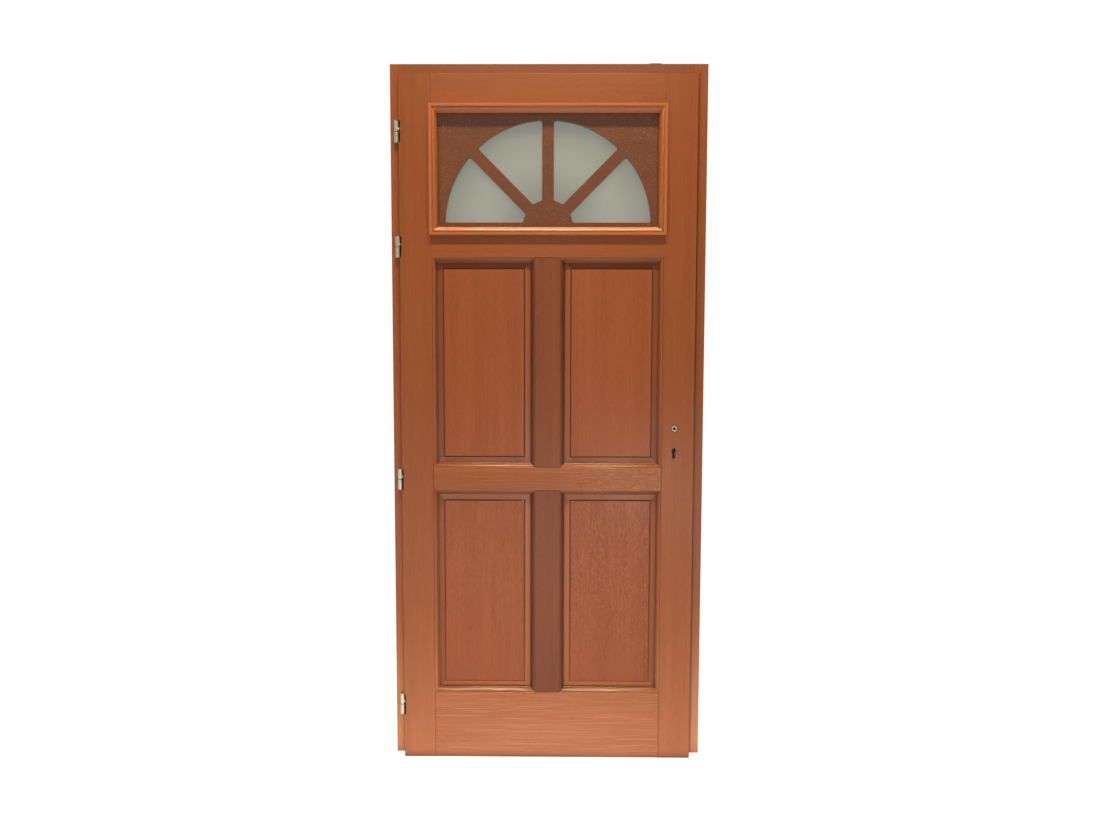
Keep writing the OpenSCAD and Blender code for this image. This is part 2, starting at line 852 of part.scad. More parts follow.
module bottom_rail() {
    color(wood_tone) difference() {
        union() {
            rail(0, lower_foot);
            rail_tenons(body_foot, lower_foot, 0);
            sticking_above(left_x, lower_foot);
            sticking_above(right_x, lower_foot);
        }
        lip_rebate();
        panel_grooves();
        all_muntin_tenons(tenon_play);
    }
}

// Upright between two panels
module muntin(foot, head) {
    color(wood_dark) difference() {
        union() {
            upright([muntin_left, leaf_face], [right_x, leaf_back], foot, head);
            muntin_tenons(foot, head, 0);
            sticking_left_of(muntin_left, foot);
            sticking_right_of(right_x, foot);
        }
        panel_grooves();
    }
}

module upper_muntin() {
    muntin(upper_foot, upper_head);
}

module lower_muntin() {
    muntin(lower_foot, lower_head);
}

// Outline of a raised panel across one direction, from its middle
module panel_outline(low, high, sight, field) {
    polygon([[low, -tongue_half], [-sight, -tongue_half], [-field, -margin_half], [-field, -field_half],
        [field, -field_half], [field, -margin_half], [sight, -tongue_half], [high, -tongue_half],
        [high, tongue_half], [sight, tongue_half], [field, margin_half], [field, field_half],
        [-field, field_half], [-field, margin_half], [-sight, tongue_half], [low, tongue_half]]);
}

// Groove round the raised field on the back of a panel
module quirk() {
    side = field_half_width + quirk_width;
    head = field_half_height + quirk_width;
    low = margin_half - quirk_depth;
    high = field_half + cut_over;
    difference() {
        block([-side, low, -head], [side, high, head]);
        block([-field_half_width, low - cut_over, -field_half_height],
            [field_half_width, high + cut_over, field_half_height]);
    }
}

// Raised panel whose opening has the given lower left sight corner
module panel(x, z) {
    side = sight_half_width + groove_depth - panel_float;
    foot = sight_half_height + groove_depth;
    head = foot - panel_float;
    color(wood_tone) translate([x + panel_width / 2, leaf_middle, z + panel_height / 2]) difference() {
        intersection() {
            translate([0, 0, -foot]) linear_extrude(height = foot + head)
                panel_outline(-side, side, sight_half_width, field_half_width);
            translate([side, 0, 0]) rotate([0, -90, 0]) linear_extrude(height = 2 * side)
                panel_outline(-foot, head, sight_half_height, field_half_height);
        }
        quirk();
        mirror([0, 1, 0]) quirk();
    }
}

module upper_left_panel() {
    panel(left_x, upper_foot);
}

module upper_right_panel() {
    panel(right_x, upper_foot);
}

module lower_left_panel() {
    panel(left_x, lower_foot);
}

module lower_right_panel() {
    panel(right_x, lower_foot);
}

// Sheet that fills the window opening at a depth below the leaf face
module window_sheet(drop, depth) {
    block([left_x + glazing_play, leaf_face + drop, window_foot + glazing_play],
        [lock_stile_x - glazing_play, leaf_face + drop + depth, window_head - glazing_play]);
}

// Bearing of a point from the fan's centre
function bearing(point) = atan2(point[1], point[0]);

// Points of an arc between two bearings, with or without its end
function arc(centre, radius, from, to, steps, with_end) =
    [for (i = [0 : with_end ? steps : steps - 1])
        let (angle = from + (to - from) * i / steps) centre + radius * [cos(angle), sin(angle)]];

// Centre of the round between a straight edge of a fan opening and a circle about the fan's centre
function fan_round(angle, off, reach) =
    let (along = sqrt(reach * reach - off * off))
    along * [cos(angle), sin(angle)] + off * [-sin(angle), cos(angle)];

// Fan opening between two straight edges, each with its angle and distance from the fan's centre
module fan_opening(upper, upper_set, lower, lower_set) {
    over = upper_set - fan_corner;
    under = lower_set + fan_corner;
    outer_low = fan_round(lower, under, fan_radius - fan_corner);
    outer_high = fan_round(upper, over, fan_radius - fan_corner);
    inner_high = fan_round(upper, over, fan_hub + fan_corner);
    inner_low = fan_round(lower, under, fan_hub + fan_corner);
    polygon(concat(
        arc(outer_low, fan_corner, lower - 90, bearing(outer_low), corner_steps, false),
        arc([0, 0], fan_radius, bearing(outer_low), bearing(outer_high), rim_steps, false),
        arc(outer_high, fan_corner, bearing(outer_high), upper + 90, corner_steps, true),
        arc(inner_high, fan_corner, upper + 90, bearing(inner_high) + 180, corner_steps, false),
        arc([0, 0], fan_hub, bearing(inner_high), bearing(inner_low), corner_steps, false),
        arc(inner_low, fan_corner, bearing(inner_low) + 180, lower + 270, corner_steps, true)));
}

// The two fan openings right of the upright spoke
module fan_half() {
    sink = hub_set * cos(45);
    fan_opening(90, -spoke_half, 45, sink + spoke_half);
    fan_opening(45, sink - spoke_half, 0, fan_base_set);
}

module sunburst_board() {
    front = leaf_face + board_drop - cut_over;
    back = leaf_face + board_drop + board_depth + cut_over;
    color(wood_dark) difference() {
        window_sheet(board_drop, board_depth);
        intersection() {
            translate([leaf_centre, back, fan_centre]) rotate([90, 0, 0]) linear_extrude(height = back - front) {
                fan_half();
                mirror([1, 0]) fan_half();
            }
            block([bead_left + bead_reach, front, bead_foot + bead_reach],
                [bead_right - bead_reach, back, bead_head - bead_reach]);
        }
    }
}

module front_glass() {
    color(clear_tone) window_sheet(glass_drop, glass_depth);
}

module back_glass() {
    color(satin_tone) window_sheet(back_glass_drop, glass_depth);
}

// Mitred plan of a bead along +X, with reach along +Z, through the whole leaf
module bead_plan(length) {
    translate([0, leaf_depth + back_bead_proud + cut_over, 0]) rotate([90, 0, 0])
        linear_extrude(height = leaf_depth + back_bead_proud + bead_proud + 2 * cut_over)
            polygon([[0, 0], [length, 0], [length - bead_width, bead_width], [bead_width, bead_width]]);
}

// Front bead along +X with depth along +Y from the leaf face and reach along +Z
module front_bead(length) {
    turn = bead_flat + bead_quirk;
    crest = turn + bead_round;
    quirk_foot = bead_quirk_depth - bead_proud;
    intersection() {
        rotate([90, 0, 90]) linear_extrude(height = length) difference() {
            polygon([[0, 0], [-bead_proud, 0], [-bead_proud, bead_flat], [quirk_foot, bead_flat],
                [quirk_foot, turn], [-bead_proud, turn], [-bead_proud, crest], [-bead_step_proud, crest],
                [-bead_step_proud, crest + bead_step], [bead_nose_drop, bead_width - bead_nose],
                [bead_nose_drop, bead_width], [glass_drop, bead_width], [glass_drop, bead_inner],
                [0, bead_inner]]);
            translate([-bead_step_proud, turn]) mirror([1, 0]) corner_waste(bead_round);
        }
        bead_plan(length);
    }
}

// Back bead along +X with depth along +Y from the leaf face and reach along +Z
module back_bead(length) {
    far = leaf_depth + back_bead_proud;
    intersection() {
        rotate([90, 0, 90]) linear_extrude(height = length) difference() {
            translate([back_bead_drop, bead_inner]) square([far - back_bead_drop, bead_width - bead_inner]);
            translate([far - back_bead_round, bead_width - back_bead_round]) corner_waste(back_bead_round);
        }
        bead_plan(length);
    }
}

module at_foot() {
    color(wood_tone) translate([bead_left, leaf_face, bead_foot]) children();
}

module at_head() {
    color(wood_tone) translate([bead_left, leaf_face, bead_head]) mirror([0, 0, 1]) children();
}

module at_left() {
    color(wood_tone) translate([bead_left, leaf_face, bead_foot]) mirror([1, 0, 0])
        rotate([0, -90, 0]) children();
}

module at_right() {
    color(wood_tone) translate([bead_right, leaf_face, bead_foot]) rotate([0, -90, 0]) children();
}

module front_bead_foot() {
    at_foot() front_bead(bead_span);
}

module front_bead_top() {
    at_head() front_bead(bead_span);
}

module front_bead_left() {
    at_left() front_bead(bead_rise);
}

module front_bead_right() {
    at_right() front_bead(bead_rise);
}

module back_bead_foot() {
    at_foot() back_bead(bead_span);
}

module back_bead_top() {
    at_head() back_bead(bead_span);
}

module back_bead_left() {
    at_left() back_bead(bead_rise);
}

module back_bead_right() {
    at_right() back_bead(bead_rise);
}

module lock_case() {
    color(steel_tone) difference() {
        block([case_left, case_front, case_foot], [case_right, case_back, case_head]);
        block([case_left + case_wall, case_front + case_wall, case_foot + case_wall],
            [case_right + cut_over, case_back - case_wall, case_head - case_wall]);
        bar_y([spindle_x, case_front - cut_over, spindle_z], case_thickness + 2 * cut_over,
            hub_radius + bolt_play);
        translate([spindle_x, case_front - cut_over, cylinder_z])
            euro_hole(0, case_thickness + 2 * cut_over);
    }
}

module lock_faceplate() {
    color(nickel_tone) difference() {
        block([case_right, plate_front, plate_foot], [body_right, plate_back, plate_head]);
        bolt_window(latch_z, latch_height, case_right - cut_over, body_right + cut_over, bolt_play);
        bolt_window(cylinder_z, bolt_height, case_right - cut_over, body_right + cut_over, bolt_play);
        for (z = plate_screws) {
            translate([body_right, lock_y, z]) mirror([1, 0, 0]) screw_hole(faceplate_depth, screw_length);
        }
    }
}

module faceplate_screws() {
    color(steel_tone) for (z = plate_screws) {
        translate([body_right, lock_y, z]) mirror([1, 0, 0]) screw(faceplate_depth, screw_length);
    }
}

module lock_follower() {
    half = spindle_square / 2;
    hub_front = case_front - hub_neck;
    color(nickel_tone) difference() {
        bar_y([spindle_x, hub_front, spindle_z], case_back - hub_front, hub_radius);
        block([spindle_x - half, hub_front - cut_over, spindle_z - half],
            [spindle_x + half, case_back + cut_over, spindle_z + half]);
    }
}

module latch_bolt() {
    tail = body_right - latch_length;
    color(nickel_tone) translate([0, 0, latch_z - latch_height / 2]) linear_extrude(height = latch_height)
        polygon([[tail, bolt_front], [body_right, bolt_front], [body_right, bolt_front + bolt_thickness / 4],
            [body_right - latch_throw, bolt_back], [tail, bolt_back]]);
}

module dead_bolt() {
    color(nickel_tone) bolt_window(cylinder_z, bolt_height, body_right - bolt_length, body_right, 0);
}

hinge_jamb();
lock_jamb();
head_jamb();
hinge_side_seal();
lock_side_seal();
head_seal();
strike_plate();
strike_screws();
head_lug();
lug_screws();
frame_hinge_a();
frame_hinge_b();
frame_hinge_c();
frame_hinge_d();
hinge_stile();
lock_stile();
top_rail();
frieze_rail();
mid_rail();
bottom_rail();
upper_muntin();
lower_muntin();
upper_left_panel();
upper_right_panel();
lower_left_panel();
lower_right_panel();
sunburst_board();
front_glass();
back_glass();
front_bead_top();
front_bead_foot();
front_bead_left();
front_bead_right();
back_bead_top();
back_bead_foot();
back_bead_left();
back_bead_right();
lock_case();
lock_faceplate();
faceplate_screws();
leaf_hinge_a();
leaf_hinge_b();
leaf_hinge_c();
leaf_hinge_d();
lock_follower();
latch_bolt();
dead_bolt();
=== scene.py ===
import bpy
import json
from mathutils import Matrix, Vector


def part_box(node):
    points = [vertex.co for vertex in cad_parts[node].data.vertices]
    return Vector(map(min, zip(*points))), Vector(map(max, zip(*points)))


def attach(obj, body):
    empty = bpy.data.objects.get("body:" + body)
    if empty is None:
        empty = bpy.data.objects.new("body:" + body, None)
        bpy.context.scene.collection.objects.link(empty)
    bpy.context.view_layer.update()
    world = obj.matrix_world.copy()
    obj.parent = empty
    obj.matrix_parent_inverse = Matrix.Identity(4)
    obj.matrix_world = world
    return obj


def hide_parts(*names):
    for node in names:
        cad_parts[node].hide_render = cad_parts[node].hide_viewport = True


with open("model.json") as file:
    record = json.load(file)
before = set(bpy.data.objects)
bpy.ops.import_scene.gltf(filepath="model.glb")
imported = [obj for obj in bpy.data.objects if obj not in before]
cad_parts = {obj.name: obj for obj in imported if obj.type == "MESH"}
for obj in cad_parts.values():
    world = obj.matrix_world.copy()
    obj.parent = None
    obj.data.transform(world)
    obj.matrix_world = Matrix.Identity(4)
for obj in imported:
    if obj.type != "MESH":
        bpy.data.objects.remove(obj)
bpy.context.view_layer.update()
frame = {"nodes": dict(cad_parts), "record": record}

import json
import math

import bmesh
import bpy
from bpy.props import FloatProperty, FloatVectorProperty, IntProperty, PointerProperty
from bpy.types import Operator, Panel, PropertyGroup
from mathutils import Matrix, Vector

bl_info = {
    "name": "Panelled front door",
    "version": (1, 0, 0),
    "blender": (4, 5, 0),
    "location": "View3D > Sidebar > Front Door",
    "description": "Finishes the packed door and its frame in stained wood, glass, nickel and steel",
    "category": "Object",
}

RECORD = frame["record"]
BODY_OF = {node: body for body, nodes in RECORD["behaviour"]["bodies"].items() for node in nodes}
SLOT_OF = {part["node"]: part["material_slot"] for part in RECORD["subparts"]}

STILES = ("hinge_stile", "lock_stile")
RAILS = ("top_rail", "frieze_rail", "mid_rail", "bottom_rail")
SEAMED_RAILS = ("mid_rail", "bottom_rail")
MUNTINS = ("upper_muntin", "lower_muntin")
PANELS = ("upper_left_panel", "upper_right_panel", "lower_left_panel", "lower_right_panel")
JAMBS = ("hinge_jamb", "lock_jamb")
SEALS = ("hinge_side_seal", "lock_side_seal", "head_seal")
BEAD_SIDES = ("top", "foot", "left", "right")
HINGES = "abcd"
FACES = ("y-", "y+")
ALL_SIDES = ("x-", "x+", *FACES, "z-", "z+")

# Planes of the leaf's rim on each of its members
LEAF_RIM = {"hinge_stile": ("x-", "z+"), "lock_stile": ("x+", "z+"), "top_rail": ("z+",)}
# The leaf beside each frame member: axis, leaf member, its side, and width of the strip of painted shadow
# along it
LEAF_SHADOW_STRIP = {
    "hinge_jamb": (0, "hinge_stile", -1, 0.0036),
    "lock_jamb": (0, "lock_stile", 1, 0.0062),
    "head_jamb": (2, "top_rail", 1, 0.0036),
}

# Looks of single members: share of the stain, tint at the foot (painted floor light on the jambs and the
# hinge stile, painted shade on the lower panels and the lower muntin), painted shade under the mouldings,
# and grain
CUT_TONE = {
    "lower_muntin": 0.87,
    "lower_left_panel": 0.93,
    "lower_right_panel": 0.86,
    "upper_left_panel": 0.97,
    "lock_jamb": 0.9,
}
FOOT_PAINTED_LIGHT_TINT = {
    "lower_left_panel": (0.79, 0.62, 0.22),
    "lower_right_panel": (0.79, 0.62, 0.22),
    "lower_muntin": (0.64, 0.43, 0.17),
    "hinge_jamb": (1.35, 1.72, 2.2),
    "lock_jamb": (1.5, 2.0, 2.7),
    "hinge_stile": (1.12, 1.18, 1.26),
}
# Painted shade on the mouldings that look down under these rails
UNDER_PAINTED_SHADE = {"frieze_rail": 0.25, "mid_rail": 0.7}
MEMBER_GRAIN = {
    "lock_stile": {"bare": True},
    # Painted glints and sheen: bright flecks and figure on the mid rail's right half and on the lower right
    # panel
    "mid_rail": {"flecks": 0.9, "fleck_tint": (2.0, 2.4, 2.6), "sheen_side": (0.0, 0.16),
                 "mottle": 0.5, "worn": 0.12},
    "bottom_rail": {"worn": 0.25},
    "lower_left_panel": {"mottle": 0.16},
    "lower_right_panel": {"mottle": 0.42, "flecks": 0.8, "fleck_tint": (1.9, 2.2, 2.3)},
}
# Looks of the upper and the lower panels: grain, share of the margins' stain, and tints of two margins,
# which are painted shadow on the upper panels' top margins and painted sheen and light on the other top and
# bottom margins
PANEL_GRAIN = {
    "upper": {"streaks": 0.5, "dashes": 0.22},
    "lower": {"streaks": 0.7, "dashes": 0.36, "red": 0.25},
}
MARGIN_SHARE = {"upper": 1.0, "lower": 1.22}
MARGIN_PAINTED_LIGHT = {
    "upper": {"head": (0.74, 0.56, 0.48), "foot": (1.23, 1.47, 1.9)},
    "lower": {"head": (1.04, 1.4, 1.8), "foot": (1.24, 1.15, 0.76)},
}

# Noise of the wood: waves to a metre across and along the grain, shift, detail and roughness
GRAIN_NOISE = {
    "wander": ((5, 5, 1.6), (0, 0, 0), 2, 0.55),
    "ribbon": ((26, 26, 0.8), (0, 0, 0), 4, 0.6),
    "streak": ((210, 210, 5), (0, 0, 0), 4, 0.65),
    "pore": ((1300, 1300, 42), (0, 0, 0), 2, 0.55),
    "fleck": ((330, 330, 190), (0, 0, 0), 2, 0.55),
    "dash": ((620, 620, 70), (5, 2, 4), 2, 0.6),
    "ray": ((95, 95, 2.4), (3, 1, 2), 3, 0.55),
    "figure": ((190, 190, 36), (2, 6, 1), 3, 0.55),
    "rubbed": ((520, 520, 3.5), (1, 4, 2), 3, 0.6),
}
# First seed of the grain in each group of members, and on each face of the window's beads
SEEDS = {"jamb": 3, "head": 6, "stile": 11, "rail": 15, "muntin": 21, "panel": 31, "board": 41,
         "front": 45, "back": 52}
FIGURE_WAVE = 1.2
WANDER_X, WANDER_Y = 0.03, 0.02
RIBBON_SHARE = 0.55
STREAK_SPREAD = 0.34
FOOT_SPAN = (0.6, 0.05)

# Tints of the stain
FLECK_TINT = (1.5, 1.7, 1.9)
# Lighter arrises: worn stain and a painted highlight
ARRIS_WEAR_AND_HIGHLIGHT_TINT = (1.35, 1.5, 1.7)
DASH_TINT = (1.5, 1.75, 2.1)
DASH_DARK = 0.5
PORE_DARK = 0.42
RAY_TINT = (0.95, 0.62, 0.6)
FIGURE_TINT = (1.5, 1.9, 2.2)
FIGURE_DARK = 0.62
# Painted light on the panel margins that face up or towards the door's centre
LIT_MARGIN_TINT = (1.16, 1.14, 1.1)
JAMB_EDGE_TINT = (0.4, 0.4, 0.45)
# Painted glints on the sunburst board
BOARD_GLINT_TINT = (2.3, 2.4, 2.1)

# Lamps: place, target, width and height, setting of the power, and what else is set
LAMPS = {
    "lamp_above": ((0.0, -0.85, 3.6), (0.0, 0.0, 1.0), (1.9, 0.16), "key_power",
                   {"spread": 65, "tint": "key_tone"}),
    "lamp_in_front": ((0.0, -1.15, 1.05), (0.0, 0.0, 1.05), (0.2, 2.1), "fill_power",
                      {"mirrored": False}),
    "lamp_on_floor": ((0.0, -0.62, 0.002), (0.0, -0.62, 1.0), (1.8, 1.15), "low_power",
                      {"mirrored": False}),
    "lamp_high_in_front": ((0.0, -2.4, 3.0), (0.0, 0.0, 1.0), (1.6, 0.4), "box_power",
                           {"tint": "box_tone"}),
    "lamp_on_left": ((-1.4, -2.2, 1.1), (0.0, 0.0, 1.1), (0.35, 2.0), "side_power", {}),
    "lamp_on_right": ((1.4, -2.2, 1.1), (0.0, 0.0, 1.1), (0.35, 2.0), "side_power", {}),
    "lamp_for_sheen": ((0.62, -3.0, 0.42), (0.25, 0.0, 0.9), (0.55, 0.35), "sheen_power", {}),
}

PHOTO_WIDTH = 1100
SENSOR_WIDTH = 36.0
CLIP_START, CLIP_END = 0.05, 60
FLOOR_SIZE, FLOOR_DROP = 9.0, 0.0015
MERGE_DISTANCE = 1e-6
PLANE_SLACK = 5e-5
PANE_RELIEF = 0.0001
# Depths of the moulded edges, and spaces that hold the lock holes, the hinge joints and the square hole
MOULDING_DEPTH, STEP_DEPTH = 0.0125, 0.003
HOLE_REACH, HOLE_DROP = 0.0125, 0.096
JOINT_REACH, BORE_REACH = 0.0013, 0.0065
FLAT_ANGLE = math.radians(0.4)
SHARP_ANGLE = math.radians(38)
ARRIS_ANGLE = math.radians(30)
EDGE_STEPS = 2
# Least or greatest part of a face's normal along an axis
FLAT_ON, SQUARE_ON, END_ON = 0.999, 0.99, 0.97
EDGE_ON, LIT_SIDE, LOOKS_UP, SLOPES, LEANS = 0.5, 0.3, 0.25, 0.1, 0.05
MARGIN_GAIN = 4


# Settings that a user would change

def tone(name, description, default):
    """A colour setting."""
    return FloatVectorProperty(name=name, description=description, default=default, min=0, max=1,
                               size=3, subtype="COLOR")


def length(name, description, default):
    """A length setting in metres."""
    return FloatProperty(name=name, description=description, default=default, min=0, precision=5,
                         subtype="DISTANCE", unit="LENGTH")


def share(name, description, default):
    """A setting that is a plain share or level."""
    return FloatProperty(name=name, description=description, default=default, min=0, max=1)


def power(name, description, default):
    """A lamp's power setting."""
    return FloatProperty(name=name, description=description, default=default, min=0)


def angle(name, description, degrees):
    """An angle setting, given in degrees."""
    return FloatProperty(name=name, description=description, default=math.radians(degrees), subtype="ANGLE")


def facets(name, description, default, least):
    """A setting that counts the facets of a round."""
    return IntProperty(name=name, description=description, default=default, min=least)


class DoorWoodSettings(PropertyGroup):
    """Stain, varnish and arrises of the wood."""
    stile_tone: tone("Stile stain", "Mean colour of the stiles", (0.35, 0.096, 0.029))
    rail_tone: tone("Rail stain", "Mean colour of the rails", (0.357, 0.099, 0.029))
    muntin_tone: tone("Muntin stain", "Mean colour of the muntins", (0.26, 0.073, 0.026))
    panel_tone: tone("Panel stain", "Mean colour of the raised fields", (0.36, 0.094, 0.03))
    margin_tone: tone("Margin stain", "Colour of the sloping panel margins", (0.3, 0.085, 0.028))
    board_tone: tone("Board stain", "Mean colour of the sunburst board", (0.25, 0.087, 0.043))
    bead_tone: tone("Bead stain", "Mean colour of the window beads", (0.54, 0.142, 0.028))
    jamb_tone: tone("Jamb stain", "Mean colour of the jambs", (0.39, 0.108, 0.035))
    head_tone: tone("Head stain", "Mean colour of the frame head", (0.3, 0.09, 0.03))
    arris: length("Arris", "Radius of the rounded arrises", 0.0012)
    seam: length("Seam", "Width of the dark groove where one member meets another", 0.0016)
    seam_depth: length("Seam depth", "Depth of the dark groove where one member meets another", 0.0004)
    fine_arris: length("Fine arris", "Radius of the arrises on panels, beads and board", 0.0007)
    arris_steps: facets("Arris steps", "Facets across a rounded arris", 3, 1)
    gloss: share("Varnish", "Weight of the clear coat over the stain", 0.9)
    gloss_roughness: share("Varnish roughness", "Roughness of the clear coat", 0.24)
    pore_depth: length("Pore depth", "Depth of the open grain under the varnish", 0.00016)
    # Painted shadow on the frame's face along the leaf
    joint_painted_shadow: share("Joint darkness", "Share of dark stain in the frame's face along the leaf", 0.62)
    # Painted shade on the arris round the leaf
    rim_painted_shade: share("Rim darkness", "Share of dark stain in the arris round the leaf", 0.85)
    # Pale streaks of wear and painted sheen low on the leaf
    wear_and_sheen_tone: tone("Worn wood", "Colour of the worn streaks low on the leaf", (0.7, 0.38, 0.27))
    bare_tone: tone("Bare wood", "Colour of the wood inside the lock holes", (0.88, 0.8, 0.66))
    # Painted shade in the step and in the lowest flat of the moulded edges
    step_painted_shade: share("Step darkness", "Share of dark stain in the step beside the moulded edges", 0.35)
    fillet_painted_shade: share("Fillet darkness", "Share of dark stain in the lowest flat of the moulded edges", 0.6)


class DoorFanSettings(PropertyGroup):
    """Cut-outs of the sunburst board."""
    rim: length("Rim radius", "Radius of the fan", 0.315)
    hub: length("Hub radius", "Radius of the plain wood round the fan's centre", 0.076)
    spoke: length("Spoke", "Width of each spoke", 0.036)
    corner: length("Corner", "Radius of the corners of the cut-outs", 0.008)
    centre_rise: length("Centre", "Height of the fan's centre above the board's foot", 0.0255)
    base_rise: length("Base", "Height of the fan's straight base above the board's foot", 0.0331)
    spokes_rise: length("Spokes", "Height above the board's foot at which the spokes meet", 0.0165)
    lip: length("Lip", "Radius of the rounded lip of the cut-outs", 0.0012)
    arc_steps: facets("Arc steps", "Facets across each long arc", 40, 8)
    corner_steps: facets("Corner steps", "Facets across each short arc", 10, 4)


class DoorMetalSettings(PropertyGroup):
    """Hinges, lock and fixings."""
    nickel_tone: tone("Nickel", "Colour of the hinge barrels", (0.82, 0.79, 0.69))
    nickel_roughness: share("Nickel roughness", "Roughness of the hinge barrels", 0.26)
    plate_tone: tone("Plates", "Colour of the faceplate, strike and bolts", (0.55, 0.53, 0.49))
    case_tone: tone("Case", "Colour of the zinc-plated lock case", (0.85, 0.8, 0.74))
    hub_tone: tone("Follower", "Colour of the zinc-plated follower", (0.95, 0.88, 0.72))
    lug_tone: tone("Lug", "Colour of the lug on the frame head", (0.06, 0.05, 0.045))
    barrel_arris: length("Barrel edge", "Radius of the edges of barrels, plates and bolts", 0.0004)
    notch_width: length("Notch width", "Width of the notch in the leaf beside each barrel", 0.0048)
    notch_depth: length("Notch depth", "Depth of the notch in the leaf beside each barrel", 0.013)


class DoorGlassSettings(PropertyGroup):
    """The window's two panes."""
    satin_tone: tone("Satin glass", "Colour of the obscured back pane", (0.4, 0.405, 0.345))
    satin_share: share("Light let through", "Share of light that the obscured pane lets through", 0.85)
    # Painted light: a band across the pane, lightest at one distance from the fan's centre
    painted_light_reach: length("Light band", "Distance from the fan's centre at which the pane is lightest", 0.2)
    painted_light_width: length("Light band width", "Distance over which the pane darkens on both sides", 0.13)
    clear_tone: tone("Clear glass", "Tint of the clear front pane", (0.86, 0.92, 0.88))
    pane_mirror: share("Pane reflection", "Share of light that the clear pane mirrors", 0.02)


class DoorStageSettings(PropertyGroup):
    """Camera, floor and lamps."""
    camera_place: FloatVectorProperty(name="Camera", description="Place of the camera", size=3,
                                      subtype="TRANSLATION", unit="LENGTH",
                                      default=(0.0265, -2.5041, 1.2793))
    focal_pixels: FloatProperty(name="Focal length", description="Focal length in pixels of the photograph",
                                default=800.0)
    pitch: angle("Pitch", "Camera's tilt below the horizon", 4.022)
    yaw: angle("Yaw", "Camera's turn to the right", -0.476)
    roll: angle("Roll", "Camera's roll", 0.131)
    floor_tone: tone("Floor", "Colour of the floor", (0.8, 0.79, 0.77))
    key_power: power("Key", "Power of the lamp above", 12.0)
    key_tone: tone("Key colour", "Colour of the lamp above", (1.0, 0.85, 0.55))
    fill_power: power("Fill", "Power of the upright lamp in front", 2.6)
    low_power: power("Low fill", "Power of the lamp on the floor", 11.0)
    sheen_power: power("Sheen", "Power of the low lamp behind the camera", 1.4)
    box_power: power("Box", "Power of the soft box high in front", 2.5)
    box_tone: tone("Box colour", "Colour of the soft box high in front", (1.0, 0.86, 0.62))
    side_power: power("Sides", "Power of each upright lamp beside the camera", 2.0)
    ambient: share("Ambient", "Level of the light from all round", 0.175)


# Shader values as Python expressions

class Shade:
    """A shader value: a socket that takes part in Python arithmetic."""

    def __init__(self, nodes, socket):
        self.nodes, self.socket = nodes, socket

    def _math(self, operation, first, second):
        return self.nodes.add("ShaderNodeMath", {"operation": operation}, {0: first, 1: second})

    def __add__(self, other):
        return self._math("ADD", self, other)

    __radd__ = __add__

    def __sub__(self, other):
        return self._math("SUBTRACT", self, other)

    def __rsub__(self, other):
        return self._math("SUBTRACT", other, self)

    def __mul__(self, other):
        return self._math("MULTIPLY", self, other)

    __rmul__ = __mul__

    def __or__(self, other):
        return self._math("MAXIMUM", self, other)

    def __abs__(self):
        return self._math("ABSOLUTE", self, 0)


class Nodes:
    """A node tree being filled."""

    def __init__(self, tree):
        self.tree = tree
        tree.nodes.clear()

    def add(self, kind, settings=None, values=None, out=0):
        """Adds a node, sets it up, feeds its sockets and gives one of its outputs."""
        node = self.tree.nodes.new(kind)
        for key, setting in (settings or {}).items():
            setattr(node, key, setting)
        for key, value in (values or {}).items():
            if isinstance(value, Shade):
                self.tree.links.new(value.socket, node.inputs[key])
            else:
                node.inputs[key].default_value = value
        return Shade(self, node.outputs[out]) if node.outputs else node

    def place(self):
        """Object coordinates."""
        return self.add("ShaderNodeTexCoord", out="Object")

    def mapped(self, vector, shift=(0, 0, 0), turn=(0, 0, 0), scale=(1, 1, 1)):
        """A vector scaled, turned and shifted."""
        return self.add("ShaderNodeMapping", {"vector_type": "POINT"},
                        {"Vector": vector, "Location": shift, "Rotation": turn, "Scale": scale})

    def noise(self, vector, detail=3.0, roughness=0.55, wave=0.0):
        """Plain noise of about one wave to each unit of the vector."""
        return self.add("ShaderNodeTexNoise", {"noise_dimensions": "3D"},
                        {"Vector": vector, "Scale": 1.0, "Detail": detail, "Roughness": roughness,
                         "Distortion": wave})

    def part(self, vector, axis):
        """One coordinate of a vector."""
        return self.add("ShaderNodeSeparateXYZ", None, {0: vector}, out=axis)

    def ease(self, value, start, end):
        """0 before start and 1 after end, with a smooth step between them."""
        return self.add("ShaderNodeMapRange", {"interpolation_type": "SMOOTHSTEP"},
                        {"Value": value, "From Min": start, "From Max": end})

    def mix(self, factor, first, second, blend="MIX"):
        """A mix of two colours."""
        return self.add("ShaderNodeMix", {"data_type": "RGBA", "blend_type": blend},
                        {0: factor, 6: opaque(first), 7: opaque(second)}, out=2)

    def mark(self, name):
        """A number that the mesh keeps for each of its faces."""
        return self.add("ShaderNodeAttribute", {"attribute_name": name}, out="Fac")

    def relief(self, height, distance, strength=1.0):
        """A normal bent by a height."""
        return self.add("ShaderNodeBump", None,
                        {"Height": height, "Distance": distance, "Strength": strength})

    def surface(self, values):
        """A Principled surface on the tree's output."""
        shader = self.add("ShaderNodeBsdfPrincipled", None, values)
        self.add("ShaderNodeOutputMaterial", None, {"Surface": shader})


def opaque(colour):
    """A plain colour with its alpha, and any other value as it is."""
    return colour if isinstance(colour, Shade) else (*tuple(colour)[:3], 1.0)


def tinted(colour, tint):
    """A colour scaled by one factor, or each of its channels by its own."""
    factors = tint if isinstance(tint, tuple) else (tint,) * 3
    return tuple(min(1.0, channel * factor) for channel, factor in zip(colour, factors))


def finish(name):
    """A new material and its empty node tree."""
    material = bpy.data.materials.new(name)
    material.use_nodes = True
    return material, Nodes(material.node_tree)


def grain_noise(nodes, grain, kind, wave=0.0):
    """One kind of noise that runs along the grain."""
    scale, shift, detail, roughness = GRAIN_NOISE[kind]
    return nodes.noise(nodes.mapped(grain, shift, scale=scale), detail, roughness, wave)


